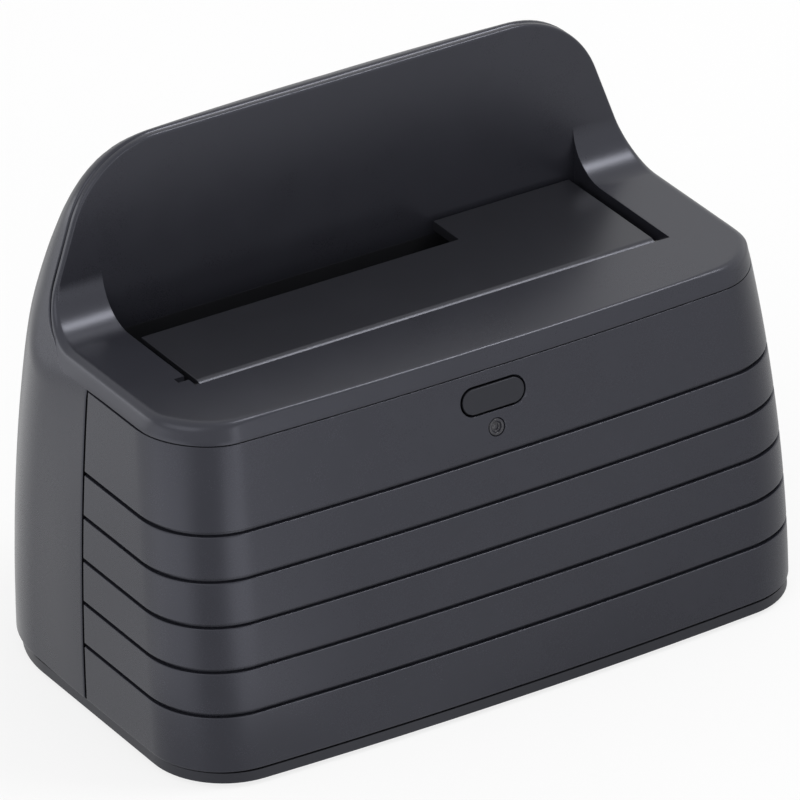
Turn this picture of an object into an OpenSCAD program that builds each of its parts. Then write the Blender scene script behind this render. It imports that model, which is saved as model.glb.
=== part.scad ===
// Single-bay hard drive docking station.
// A drive stands in a slot behind a sprung flap and plugs into a socket below it.
// Millimetres. +X right, -Y front, +Z up. The origin is on the table under the middle of the body.

/* [Body] */
// Width of the body at the table
body_w = 137.2; // [135:0.2:142]
// Depth of the body, front of the base to the back of the shell
body_d = 84; // [82:0.5:90]
// Height of the deck above the table
deck_z = 69.6; // [68:0.2:76]
// Thickness of the moulded walls
wall = 2; // [1.6:0.1:2.4]
// How far the rubber feet stand below the base
foot_h = 1; // [0.6:0.1:2]
// Gap at the seams between the shells
seam_gap = 0.4; // [0.2:0.05:0.6]
// Height of the base plate's edge
base_t = 2; // [1.6:0.1:3]

/* [Body curves] */
// Lean of the sides from upright, in degrees
side_lean = 1.56; // [0.4:0.02:2]
// Radius of the front face seen from the side
front_r = 390; // [330:5:500]
// Depth below the table at which the front face would stand upright
front_plumb = 25.6; // [15:0.2:30]
// Radius of the front face seen from above
front_bow_r = 1000; // [600:10:2000]
// Radius of the front corners seen from above
front_corner_r = 15; // [10:0.5:18]
// Radius of the lower back seen from the side
rear_r = 250; // [200:5:400]
// Height at which the back stands upright
rear_plumb_z = 21; // [15:0.5:28]
// Height at which the back turns over towards the fin
rear_turn_z = 61; // [50:0.5:64]
// Radius of the back seen from above
rear_bow_r = 700; // [500:10:1500]
// Radius of the back corners seen from above
rear_corner_r = 26; // [18:0.5:28]

/* [Fin] */
// Distance from the body's middle back to the fin's inner face, where it meets the deck
fin_y = 17.5; // [16.5:0.1:19]
// Lean of the fin's inner face towards the back, in degrees
fin_draft = 3.2; // [0:0.1:4]
// Height of the fin above the deck
fin_rise = 32.8; // [28:0.2:38]
// Thickness of the fin at its top edge, both shells together
fin_top_t = 3.9; // [3.4:0.1:5]
// Radius of the fin's top corners
fin_corner_r = 20; // [14:0.5:24]
// Lean of the fin's sides from upright, in degrees
fin_side_lean = 23.2; // [18:0.2:25]
// Radius of the shoulders between the deck and the fin
shoulder_r = 9.5; // [6:0.1:11]

/* [Top cover] */
// Height of the cover's rim above the top seam
cover_rim = 4.2; // [4:0.1:5.5]
// Height of the rim's plain land above the top seam, below the fin's lean
rim_land = 0.6; // [0.3:0.1:1.2]
// Thickness of the deck
deck_t = 2.2; // [1.8:0.1:2.8]
// Thickness of the fin's front sheet
fin_sheet_t = 2; // [1.6:0.1:2.4]
// Thickness of the collar round the drive slot
collar_t = 2.8; // [2.4:0.1:3.4]

/* [Front fascia] */
// Distance from the body's middle to the side seam, negative is forward
side_seam_y = -1.5; // [-5:0.5:3]
// Number of grooves round the fascia
groove_count = 5; // [3:1:5]
// Height of the lowest groove
groove_z = 14.7; // [13:0.1:16.5]
// Spacing of the grooves
groove_pitch = 8.7; // [7.5:0.1:8.8]
// Width of a groove
groove_w = 0.8; // [0.5:0.05:1.2]
// Depth of a groove
groove_depth = 0.9; // [0.5:0.05:1.1]

/* [Drive slot] */
// Width of a 3.5-inch drive
drive_w = 101.6; // [101.2:0.1:102]
// Thickness of a 3.5-inch drive
drive_t = 26.1; // [25:0.1:26.4]
// Clearance beside the drive
drive_side_clear = 0.95; // [0.5:0.05:1.2]
// Clearance between the drive and the open flap
drive_flap_clear = 0.5; // [0.3:0.05:1]
// Width of a 2.5-inch drive
small_drive_w = 69.85; // [69.6:0.05:70.1]
// Thickness of a 2.5-inch drive
small_drive_t = 9.5; // [7:0.5:9.5]
// Clearance round the 2.5-inch drive
small_drive_clear = 0.2; // [0.1:0.05:0.5]
// Height of the well's floor above the table
well_floor_z = 16; // [14.5:0.5:20]
// Thickness of the well's walls
well_t = 1.6; // [1.2:0.1:2]

/* [Flap] */
// Thickness of the flap's plate
flap_t = 2; // [1.6:0.1:2.2]
// Depth of the flap's top below the deck
flap_drop = 0.85; // [0.5:0.05:1.2]
// Gap at each end of the flap
flap_end_gap = 1.9; // [1:0.1:2.2]
// Gap in front of the flap's hinge barrel
flap_front_gap = 0.5; // [0.4:0.05:1]
// Gap behind the flap
flap_rear_gap = 1.1; // [0.6:0.05:1.5]
// Radius of the hinge barrel along the flap's front edge
barrel_r = 1.9; // [1.8:0.05:2.1]
// Radius of the hinge pin
pin_r = 0.8; // [0.7:0.05:0.9]
// Running clearance round the hinge pin
pin_clear = 0.05; // [0.02:0.01:0.08]
// Number of ribs under the flap
flap_rib_count = 6; // [4:2:8]
// Thickness of a rib under the flap
flap_rib_t = 1.2; // [0.8:0.1:1.6]
// Radius of the flap spring's wire
spring_wire_r = 0.15; // [0.12:0.01:0.18]
// Number of turns in the flap spring
spring_turns = 8; // [5:1:10]
// Length of the barrel's pocket for the spring
spring_pocket = 12; // [9:0.5:14]

/* [Button and indicator] */
// Length of the button
button_l = 13.4; // [11:0.1:16]
// Height of the button
button_h = 4.9; // [4.4:0.1:6]
// Gap round the button
button_gap = 0.35; // [0.3:0.05:0.5]
// Distance from the deck down to the button's middle
button_drop = 9.1; // [9.1:0.1:11]
// How far the button stands proud of the fascia
button_proud = 0.25; // [0:0.05:0.5]
// Travel of the button
button_travel = 0.8; // [0.4:0.1:1]
// Width of the flange that keeps the button in
button_flange = 0.7; // [0.5:0.05:0.75]
// Thickness of the button's flange
button_flange_t = 1.2; // [0.8:0.1:1.4]
// Distance from the button down to the indicator
lens_drop = 6; // [5.7:0.1:7]
// Radius of the indicator lens
lens_r = 1.7; // [1.4:0.1:2.2]
// Clearance round the indicator lens
lens_clear = 0.05; // [0.03:0.01:0.1]
// Distance from the fascia's face back to the switch board
switch_board_y = 9; // [8.5:0.1:10]
// Width of the switch board
switch_board_w = 30; // [28:0.5:34]
// Height of the switch board
switch_board_h = 17; // [16:0.5:18]
// Width of the push switch
switch_w = 6; // [5:0.1:6.2]
// Height of the push switch's body on its board
switch_h = 3.5; // [3:0.1:3.8]
// Radius of the switch's plunger
plunger_r = 1.75; // [1.4:0.05:2]
// How far the plunger stands out of the switch
plunger_out = 1.1; // [1.05:0.05:1.3]
// Clearance round the plunger
plunger_clear = 0.08; // [0.05:0.01:0.1]
// Gap between the button's stem and the plunger
stem_gap = 0.1; // [0.05:0.01:0.2]
// Radius of the indicator's light source
led_r = 1.5; // [1:0.1:1.6]

/* [Boards] */
// Thickness of the circuit boards
board_t = 1.6; // [1.2:0.1:2]
// Height of the main board's standoffs
standoff_h = 5; // [4:0.1:5.5]
// Width of the main board
board_w = 92; // [88:0.5:93]
// Gap between the main board and the back wall
board_back_gap = 2.2; // [2:0.1:3]
// Gap between the well and the cable in front of it
cable_gap = 2.5; // [1.5:0.1:3]
// Inset of the main board's screws from its edges
board_screw_inset = 4; // [3.5:0.1:5]
// Width of the drive socket
socket_w = 44; // [42:0.5:46]
// Thickness of the drive socket
socket_t = 6; // [5:0.1:6.5]
// Distance from the fin's face to the middle of the drive socket
socket_back = 6.5; // [5.5:0.1:7.5]
// Distance from the body's middle to the drive socket, negative is left
socket_x = -19; // [-25:0.5:-10]
// How far the drive socket stands above the well's floor
socket_rise = 4; // [3:0.1:5]
// Clearance round the drive socket in the well's floor
socket_clear = 0.4; // [0.3:0.05:0.6]
// Number of contacts in the drive socket
contact_count = 22; // [18:1:22]
// Spacing of the contacts
contact_pitch = 1.27; // [1.2:0.01:1.3]
// Depth of the contact slot in the drive socket
contact_slot_depth = 3.2; // [2:0.1:4]
// Thickness of the contact slot
contact_slot_t = 2.4; // [1.8:0.1:2.8]

/* [Ports] */
// Distance from the body's middle to the data port
usb_x = -16; // [-22:0.5:-14]
// Width of the data port's shell
usb_w = 12; // [11.5:0.1:12.5]
// Height of the data port's shell
usb_h = 10.6; // [10:0.1:11]
// Length of the data port's shell
usb_l = 17; // [15:0.5:18]
// Thickness of the data port's shell
usb_t = 0.5; // [0.4:0.05:0.8]
// Distance from the body's middle to the power jack
jack_x = 16; // [14:0.5:22]
// Width of the power jack
jack_w = 9; // [8.6:0.1:10]
// Height of the power jack
jack_h = 11; // [10.5:0.1:12]
// Length of the power jack
jack_l = 14; // [12.5:0.5:15]
// Radius of the power jack's bore
jack_bore_r = 3.2; // [2.9:0.05:3.5]
// Radius of the power jack's centre pin
jack_pin_r = 1.05; // [0.9:0.05:1.25]
// Depth of the power jack's bore
jack_bore_l = 9.5; // [8:0.5:10]
// Depth of the ports' mouths behind the back face
port_recess = 0.9; // [0.7:0.05:1.2]
// Clearance round the ports in the back wall
port_clear = 0.3; // [0.2:0.05:0.5]

/* [Fasteners and feet] */
// Distance from the body's middle to the base screws, across
base_screw_x = 55; // [53:0.5:56]
// Distance from the body's middle forward to the front base screws
base_screw_front = 28; // [25:0.5:29]
// Distance from the body's middle back to the rear base screws
base_screw_rear = 14; // [10:0.5:16]
// Distance from the body's middle forward to the base screws of the well
base_screw_well = 6; // [2:0.5:10]
// Gap round the screw columns
column_gap = 0.8; // [0.4:0.1:1]
// Radius of the screw columns
column_r = 3.2; // [3:0.1:3.6]
// Radius of the screws' shanks
screw_r = 1.25; // [1:0.05:1.4]
// Clearance round a shank
screw_clear = 0.1; // [0.05:0.01:0.2]
// Radius of the screws' heads
screw_head_r = 2.5; // [2.2:0.1:2.7]
// Height of the screws' heads
screw_head_h = 1.2; // [0.8:0.1:1.4]
// Radius of the shanks of the well's screws
ear_screw_r = 1; // [0.8:0.05:1.1]
// Radius of the heads of the well's screws
ear_head_r = 1.75; // [1.5:0.05:2]
// Radius of a rubber foot
foot_r = 5; // [4:0.1:5.4]
// Distance from the body's middle to the feet, across
foot_x = 46; // [40:0.5:47]
// Distance from the body's middle to the feet, front and back
foot_y = 33; // [32:0.5:34]
// Depth of a foot's seat in the base
foot_seat = 0.6; // [0.4:0.1:1]

/* [Hidden] */
$fn = 96;
// Facets of a full turn on the large sweeps
sweep_fn = 900;

// Room past a cut, so that no two faces lie on each other
over = 1;
// Larger than the whole object
far = 300;
half_w = body_w / 2;
// Half the width at a height
function half_at(z) = half_w - z * tan(side_lean);
// How far the sweeps reach below the table, to allow for the sides' lean
sweep_margin = 4;
// Share of the body's depth that each sweep fills
sweep_share = 0.75;
top_z = deck_z + fin_rise;
seam_z = deck_z - cover_rim;
base_top = foot_h + base_t;

// Front face: an arc about an axis along X, far behind the body
front_axis_z = -front_plumb;
front_axis_y = -body_d / 2 + sqrt(pow(front_r, 2) - pow(foot_h - front_axis_z, 2));
front_reach = body_d * sweep_share;
front_start = asin((-sweep_margin - front_axis_z) / front_r);
front_end = asin((deck_z + over - front_axis_z) / (front_r - front_reach));
button_z = deck_z - button_drop;
function front_lean(z) = asin((z - front_axis_z) / front_r);
function front_y(z) = front_axis_y - front_r * cos(front_lean(z));

// Depth of the fin's inner face at a height
function fin_face(z) = fin_y + (z - deck_z) * tan(fin_draft);

// Back: a lower arc, then a tighter one that meets the fin's top edge
rear_axis_y = body_d / 2 - rear_r;
rear_reach = body_d * sweep_share;
rear_start = asin((-sweep_margin - rear_plumb_z) / (rear_r - rear_reach));
turn_a = asin((rear_turn_z - rear_plumb_z) / rear_r);
turn_normal = [cos(turn_a), sin(turn_a)];
turn_point = [rear_axis_y, rear_plumb_z] + rear_r * turn_normal;
turn_to_top = turn_point - [fin_face(top_z) + fin_top_t, top_z];
dome_r = (turn_to_top * turn_to_top) / (2 * (turn_to_top * turn_normal));
dome_centre = turn_point - dome_r * turn_normal;
// Angle at which the upper back ends, inside the fin's top
dome_end = 80;
// The upper back starts a little below the turn, just inside the lower back
dome_overlap = 1.5;
dome_step = 0.05;
function rear_y(z) = rear_axis_y + sqrt(pow(rear_r, 2) - pow(z - rear_plumb_z, 2));

// Drive slot and the flap over it
slot_half = drive_w / 2 + drive_side_clear;
hinge_reach = flap_front_gap + 2 * barrel_r;
slot_front = fin_y - drive_t - drive_flap_clear - hinge_reach;
hinge_y = slot_front + flap_front_gap + barrel_r;
hinge_z = deck_z - flap_drop - barrel_r;
flap_half = slot_half - flap_end_gap;
flap_back = fin_y - flap_rear_gap;
notch_x = -slot_half + small_drive_w + 2 * small_drive_clear + drive_side_clear;
notch_y = fin_y - small_drive_t - small_drive_clear;
// Share of the collar's thickness that seats each end of the pin
pin_seat_share = 0.8;
pin_half = slot_half + collar_t * pin_seat_share;
bore_r = pin_r + pin_clear;
// Distance from the rib ends to the flap's back edge
rib_inset = 1.1;

// Spring in the flap's barrel, between two ribs: its room round the pin and in the pocket, and its leg
spring_x = 2 * flap_half / flap_rib_count;
coil_clear = 0.1;
pocket_clear = 0.3;
spring_leg = 7;
coil_r = pin_r + coil_clear + spring_wire_r;
pocket_r = coil_r + spring_wire_r + pocket_clear;
// Length of the coil, with room for the wire at both ends of the pocket
spring_len = spring_pocket - 4;
// Points in each turn and corners round the wire
spring_steps = 8;
spring_sides = 6;

// Well under the slot, with ears beside it that screw up into the cover
well_top = seam_z;
ear_w = 8;
ear_t = 2;
// Gap between an ear and the shells
ear_gap = 0.5;
ear_room = half_at(well_top) - wall - slot_half - well_t;
ear_x = slot_half + well_t + ear_room / 2;
// Share of that room that the cover's screw bosses fill
ear_boss_share = 0.6;
// Distance from the hinge and from the shoulder to the middle of the ears
ear_hinge_gap = 2;
ear_shoulder_gap = 6;
ear_ys = [hinge_y + ear_hinge_gap, fin_y - shoulder_r - ear_shoulder_gap];

// Main board, from the cable's header in front of the well to the back wall, and what stands on it
cable_t = 0.8;
board_z = base_top + standoff_h;
board_top = board_z + board_t;
board_back = rear_y(board_z) - wall - board_back_gap;
header_y = slot_front - well_t - cable_gap - cable_t / 2;
board_front = header_y - board_screw_inset;
board_d = board_back - board_front;
board_screw_xs = [-board_w / 2 + board_screw_inset, board_w / 2 - board_screw_inset];
board_screw_ys = [board_front + board_screw_inset, board_back - board_screw_inset];
port_mouth = rear_y(board_top) - port_recess;
socket_y = fin_y - socket_back;
socket_top = well_floor_z + socket_rise;
// How far the board screws go into the standoffs
board_screw_bite = 3.5;
// Thickness of the gussets beside the screw columns
gusset_t = 1.6;
column_h = well_floor_z - well_t - base_top - column_gap;
well_column_x = board_w / 2 + column_r + column_gap;
// Base screws of the right half: fascia, rear shell, well
base_screw_spots = [
    [base_screw_x, -base_screw_front], [base_screw_x, base_screw_rear],
    [well_column_x, -base_screw_well]
];

// Switch board, parallel to the fascia behind the button
switch_screw_inset = 3;
switch_boss_x = switch_board_w / 2 - switch_screw_inset;
switch_mid = -lens_drop / 2;
switch_front = switch_board_y - switch_h;
stem_end = switch_front - plunger_out - stem_gap;
boss_r = 2.4;
// Depth at which the bosses start, inside the fascia's wall
boss_start = wall * 3 / 4;

// Cable from the switch board to the main board, and the header at each end
header_w = 12;
header_t = 3;
header_h = 4;
cable_w = 10;

// Contacts in the drive socket
contact_w = contact_pitch / 2;
contact_t = contact_slot_t / 5;
contact_h = contact_slot_depth * 0.8;
contact_span = (contact_count + 2) * contact_pitch;

// Tongue in the data port: width, thickness, height of its underside, length of the block behind it
tongue_w = 6;
tongue_t = 2.6;
tongue_z = 3.5;
tongue_block_l = 8.5;
tongue_recess = 1.5;

// Parts on the main board
chip_w = 9;
chip_h = 1.2;
// Distance from the main board's back edge to the bridge chip's middle
chip_back = 43;
chip_y = board_back - chip_back;
capacitor_count = 2;
capacitor_r = 3.15;
capacitor_h = 7;
capacitor_gap = 1;
inductor_w = 7;
inductor_h = 3;
crystal_l = 3.2;
crystal_w = 2.5;
crystal_h = 0.8;
// Distance between parts on the main board and from them to its back edge
part_gap = 2.5;
part_back = 9.5;

// What lies outside an arc of radius r about c, between the unit directions a and b
module round_cut(c, r, a, b) {
    translate(c)
        difference() {
            polygon([[0, 0], 3 * r * a, 3 * r * (a + b), 3 * r * b]);
            circle(r);
        }
}

// Plan of one face and its two rounded corners, as [distance from the sweep's axis, x]
module plan_profile(r, bow_r, corner_r, inset, reach) {
    bow_c = [r - bow_r, 0];
    corner_x = half_w - corner_r;
    corner_c = [bow_c[0] + sqrt(pow(bow_r - corner_r, 2) - pow(corner_x, 2)), corner_x];
    bow_dir = (corner_c - bow_c) / norm(corner_c - bow_c);
    difference() {
        intersection() {
            translate(bow_c) circle(bow_r - inset, $fn = sweep_fn);
            translate([r - reach, inset - half_w]) square([reach + over, 2 * (half_w - inset)]);
        }
        for (side = [0, 1])
            mirror([0, side])
                round_cut(corner_c, corner_r - inset, [0, 1], bow_dir);
    }
}

// Everything behind the front face and inside the sides
module front_solid(inset) {
    translate([0, front_axis_y, front_axis_z])
        rotate([90, 0, -90])
            rotate_extrude(angle = front_end - front_start, start = front_start, $fn = sweep_fn)
                plan_profile(front_r, front_bow_r, front_corner_r, inset, front_reach);
}

// Everything in front of the back and inside the sides
module rear_solid(inset) {
    translate([0, rear_axis_y, rear_plumb_z])
        rotate([90, 0, 90])
            rotate_extrude(angle = turn_a - rear_start, start = rear_start, $fn = sweep_fn)
                plan_profile(rear_r, rear_bow_r, rear_corner_r, inset, rear_reach);
    translate([0, dome_centre[0], dome_centre[1]])
        rotate([90, 0, 90])
            rotate_extrude(angle = dome_end - turn_a + dome_overlap, start = turn_a - dome_overlap,
                    $fn = sweep_fn)
                plan_profile(dome_r, rear_bow_r, rear_corner_r, inset + dome_step, dome_r - over);
}

// A box across the whole width, between two depths and two heights
module slab(y0, y1, z0, z1) {
    translate([-far / 2, y0, z0])
        cube([far, y1 - y0, z1 - z0]);
}

// A side view, [y, z], carried across a width
module across(width) {
    translate([-width / 2, 0, 0])
        rotate([90, 0, 90])
            linear_extrude(width) children();
}

// A front view, [x, z], carried from one depth to another
module along(y0, y1) {
    translate([0, y1, 0])
        rotate([90, 0, 0])
            linear_extrude(y1 - y0) children();
}

// The right half of a body, leaning in, and its mirror image, between two depths and two heights
module leaning(y0, y1, z0, z1) {
    mirror_x()
        intersection() {
            rotate([0, -side_lean, 0]) children();
            translate([0, y0, z0])
                cube([far, y1 - y0, z1 - z0]);
        }
}

module front_half(inset, y1, z0, z1) {
    leaning(-far, y1, z0, z1) front_solid(inset);
}

module rear_half(inset, y0, z0, z1) {
    leaning(y0, far, z0, z1) rear_solid(inset);
}

// The whole outside below the fin, pulled in by inset
module body_solid(inset, z0, z1) {
    front_half(inset, side_seam_y, z0, z1);
    rear_half(inset, side_seam_y, z0, z1);
}

// Front view of the fin: leaning sides that start on the cover's rim, and rounded top corners
module fin_limit(inset) {
    side_normal = [cos(fin_side_lean), sin(fin_side_lean)];
    land_z = seam_z + rim_land;
    rise = top_z - land_z;
    shift = inset / cos(fin_side_lean);
    foot_half = half_at(land_z);
    top_half = foot_half - rise * tan(fin_side_lean);
    // Room beside the body, so that only the fin is cut
    wide = 5;
    low = land_z - wide / tan(fin_side_lean);
    centre_x = top_half + fin_corner_r * tan(fin_side_lean) - fin_corner_r / cos(fin_side_lean);
    cap_half = top_half - shift + inset * tan(fin_side_lean);
    along(-far, far)
        difference() {
            polygon([
                [-foot_half - wide + shift, -over], [foot_half + wide - shift, -over],
                [foot_half + wide - shift, low], [cap_half, top_z - inset],
                [-cap_half, top_z - inset], [-foot_half - wide + shift, low]
            ]);
            for (side = [0, 1])
                mirror([side, 0])
                    round_cut([centre_x, top_z - fin_corner_r], fin_corner_r - inset, [0, 1], side_normal);
        }
}

// The space above the deck and in front of the fin, grown down and back
module above_deck(down, back) {
    r = shoulder_r + back;
    floor_z = deck_z - down;
    shift = back / cos(fin_draft);
    round_y = fin_face(floor_z + r) + shift - r / cos(fin_draft);
    across(far)
        difference() {
            polygon([
                [-far, floor_z], [fin_face(floor_z) + shift, floor_z],
                [fin_face(far) + shift, far], [-far, far]
            ]);
            round_cut([round_y, floor_z + r], r, [cos(fin_draft), -sin(fin_draft)], [0, -1]);
        }
}

// A pan-head screw with its head's seat at z = 0, pointing up
module screw(length, shank_r = screw_r, head_r = screw_head_r) {
    cylinder(r = shank_r, h = length);
    translate([0, 0, -screw_head_h])
        cylinder(r = head_r, h = screw_head_h);
}

module screw_hole(z0, z1, shank_r = screw_r) {
    translate([0, 0, z0])
        cylinder(r = shank_r + screw_clear, h = z1 - z0);
}

// A place on the fascia's face: +Y goes in along the face's normal
module on_fascia(z) {
    translate([0, front_y(z), z])
        rotate([-front_lean(z), 0, 0]) children();
}

// Side view, [y, z], of a point behind the button: depth in from the face, height above the button
function fascia_point(depth, up) =
    let (lean = front_lean(button_z))
    [front_y(button_z) + depth * cos(lean) + up * sin(lean), button_z - depth * sin(lean) + up * cos(lean)];

// A rod along the fascia's normal, between two depths
module rod_in(r, y0, y1) {
    translate([0, y0, 0])
        rotate([-90, 0, 0])
            cylinder(r = r, h = y1 - y0);
}

// A pill with round ends, long way across, between two depths
module pill_in(length, height, y0, y1) {
    x = (length - height) / 2;
    translate([-x, y0, -height / 2])
        cube([2 * x, y1 - y0, height]);
    for (side = [-1, 1])
        translate([side * x, 0, 0])
            rod_in(height / 2, y0, y1);
}

module mirror_x() {
    for (side = [0, 1])
        mirror([side, 0, 0]) children();
}

// A pair of screw columns joined to the side walls
module columns(y) {
    mirror_x()
        difference() {
            union() {
                translate([base_screw_x, y, base_top])
                    cylinder(r = column_r, h = column_h);
                translate([base_screw_x, y - gusset_t / 2, base_top])
                    cube([half_at(base_top + column_h) - wall / 2 - base_screw_x, gusset_t, column_h]);
            }
            translate([base_screw_x, y, 0])
                screw_hole(base_top - over, base_top + column_h - wall);
        }
}

module top_cover() {
    color("#3a3a40")
        difference() {
            intersection() {
                body_solid(0, seam_z, top_z + over);
                fin_limit(0);
                above_deck(cover_rim, fin_sheet_t);
            }
            above_deck(0, 0);
            under_deck();
            slab_slot();
            hinge_seats();
            mirror_x()
                for (y = ear_ys)
                    translate([ear_x, y, 0])
                        screw_hole(well_top - over, deck_z - deck_t / 2, ear_screw_r);
        }
}

// The hollow under the deck, round the slot's collar and the screw bosses
module under_deck() {
    difference() {
        front_half(wall + cover_rim * tan(fin_side_lean), fin_y - shoulder_r - over, seam_z - over,
            deck_z - deck_t);
        translate([-slot_half - collar_t, slot_front - collar_t, 0])
            cube([2 * (slot_half + collar_t), far, far]);
        mirror_x()
            for (y = ear_ys)
                translate([ear_x, y, 0])
                    cylinder(d = ear_room * ear_boss_share, h = far);
    }
}

// The slot, straight down from the fin's foot and open up along its face
module slab_slot() {
    across(2 * slot_half)
        polygon([
            [slot_front, 0], [fin_y, 0], [fin_y, deck_z], [fin_face(far), far], [slot_front, far]
        ]);
}

// A blind hole for the pin's right end, a notch open to the deck for its left end
module hinge_seats() {
    translate([0, hinge_y, hinge_z])
        rotate([0, 90, 0])
            cylinder(r = pin_r, h = pin_half);
    translate([-pin_half, hinge_y - pin_r, hinge_z - pin_r])
        cube([pin_half, 2 * pin_r, far]);
}

module front_fascia() {
    top = seam_z - seam_gap;
    back = side_seam_y - seam_gap / 2;
    color("#34343a") {
        difference() {
            front_half(0, back, base_top + seam_gap / 2, top);
            front_half(wall, back + over, 0, deck_z);
            grooves();
            on_fascia(button_z)
                pill_in(button_l + 2 * button_gap, button_h + 2 * button_gap, -over, 2 * wall);
            on_fascia(button_z)
                translate([0, 0, -lens_drop])
                    rod_in(lens_r + lens_clear, -over, 2 * wall);
        }
        columns(-base_screw_front);
        on_fascia(button_z)
            mirror_x()
                translate([switch_boss_x, 0, switch_mid])
                    difference() {
                        rod_in(boss_r, boss_start, switch_board_y);
                        rod_in(screw_r + screw_clear, 2 * wall, switch_board_y + over);
                    }
    }
}

// Grooves cut round the fascia from the outside
module grooves() {
    difference() {
        for (i = [0 : groove_count - 1])
            slab(-far, side_seam_y, groove_z + i * groove_pitch - groove_w / 2,
                groove_z + i * groove_pitch + groove_w / 2);
        front_half(groove_depth, far, 0, deck_z);
    }
}

module rear_shell() {
    front = side_seam_y + seam_gap / 2;
    color("#34343a") {
        difference() {
            intersection() {
                rear_half(0, front, base_top + seam_gap / 2, top_z + over);
                fin_limit(0);
            }
            intersection() {
                rear_half(wall, front - over, 0, far);
                fin_limit(wall);
            }
            above_deck(cover_rim + seam_gap, fin_sheet_t + seam_gap);
            translate([usb_x, 0, board_top])
                port_cut(usb_w, usb_h);
            translate([jack_x, 0, board_top])
                port_cut(jack_w, jack_h);
        }
        columns(base_screw_rear);
    }
}

module port_cut(width, height) {
    translate([-width / 2 - port_clear, board_back, -port_clear])
        cube([width + 2 * port_clear, far, height + 2 * port_clear]);
}

module base_plate() {
    color("#2c2c31")
        difference() {
            union() {
                body_solid(0, foot_h, base_top);
                for (x = board_screw_xs, y = board_screw_ys)
                    translate([x, y, foot_h + base_t / 2])
                        cylinder(r = column_r, h = base_t / 2 + standoff_h);
            }
            for (x = board_screw_xs, y = board_screw_ys)
                translate([x, y, 0])
                    screw_hole(base_top, board_z + over);
            mirror_x() {
                for (spot = base_screw_spots)
                    translate(spot) {
                        screw_hole(0, far);
                        cylinder(r = screw_head_r + screw_clear, h = foot_h + base_t / 2);
                    }
                for (y = [-foot_y, foot_y])
                    translate([foot_x, y, 0])
                        cylinder(r = foot_r + screw_clear, h = foot_h + foot_seat);
            }
        }
}

module rubber_feet() {
    color("#1d1d1f")
        mirror_x()
            for (y = [-foot_y, foot_y])
                translate([foot_x, y, 0])
                    cylinder(r = foot_r, h = foot_h + foot_seat);
}

module base_screws() {
    color("silver")
        mirror_x()
            for (spot = base_screw_spots)
                translate([spot[0], spot[1], foot_h + base_t / 2])
                    screw(column_h - wall);
}

module drive_well() {
    half = slot_half + well_t;
    front = slot_front - well_t;
    color("#2a2a2e")
        difference() {
            union() {
                translate([-half, front, well_floor_z - well_t])
                    cube([2 * half, fin_y + well_t - front, well_top - well_floor_z + well_t]);
                mirror_x()
                    for (y = ear_ys)
                        translate([half - well_t / 2, y - ear_w / 2, well_top - ear_t])
                            cube([ear_room - ear_gap + well_t / 2, ear_w, ear_t]);
                mirror_x()
                    translate([well_column_x, -base_screw_well, base_top])
                        cylinder(r = column_r, h = well_floor_z - base_top);
            }
            mirror_x()
                translate([well_column_x, -base_screw_well, 0])
                    screw_hole(0, base_top + column_h - wall);
            translate([-slot_half, slot_front, well_floor_z])
                cube([2 * slot_half, fin_y - slot_front, far]);
            translate([socket_x, socket_y, 0])
                translate([-socket_w / 2 - socket_clear, -socket_t / 2 - socket_clear, 0])
                    cube([socket_w + 2 * socket_clear, socket_t + 2 * socket_clear, well_floor_z + over]);
            mirror_x()
                for (y = ear_ys)
                    translate([ear_x, y, 0])
                        screw_hole(0, far, ear_screw_r);
        }
}

module well_screws() {
    color("silver")
        mirror_x()
            for (y = ear_ys)
                translate([ear_x, y, well_top - ear_t])
                    screw(ear_t + cover_rim - deck_t + deck_t / 4, ear_screw_r, ear_head_r);
}

module flap_door() {
    x0 = -flap_half;
    rib_h = barrel_r;
    color("#303035")
        difference() {
            union() {
                translate([0, 0, hinge_z + barrel_r - flap_t])
                    linear_extrude(flap_t)
                        polygon([
                            [x0, hinge_y], [flap_half, hinge_y], [flap_half, flap_back],
                            [notch_x, flap_back], [notch_x, notch_y], [x0, notch_y]
                        ]);
                translate([x0, hinge_y, hinge_z])
                    rotate([0, 90, 0])
                        cylinder(r = barrel_r, h = 2 * flap_half);
                for (i = [0 : flap_rib_count - 1])
                    flap_rib(x0 + (2 * i + 1) * flap_half / flap_rib_count, rib_h);
            }
            translate([-far, hinge_y, hinge_z])
                rotate([0, 90, 0])
                    cylinder(r = bore_r, h = 2 * far);
            spring_room();
        }
}

// A rib under the flap, from the barrel to the plate's back edge
module flap_rib(x, height) {
    back = (x > notch_x ? flap_back : notch_y) - rib_inset;
    translate([x - flap_rib_t / 2, hinge_y, hinge_z - height / 2])
        cube([flap_rib_t, back - hinge_y, height]);
}

// The pocket in the barrel for the spring, open below so that the spring's leg can swing
module spring_room() {
    roof = min(0, barrel_r - flap_t);
    translate([spring_x - spring_pocket / 2, hinge_y, hinge_z]) {
        rotate([0, 90, 0])
            cylinder(r = pocket_r, h = spring_pocket);
        translate([0, -2 * barrel_r, roof - 2 * barrel_r])
            cube([spring_pocket, 4 * barrel_r, 2 * barrel_r]);
    }
}

module flap_hinge_pin() {
    color("silver")
        translate([-pin_half, hinge_y, hinge_z])
            rotate([0, 90, 0])
                cylinder(r = pin_r, h = 2 * pin_half);
}

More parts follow.
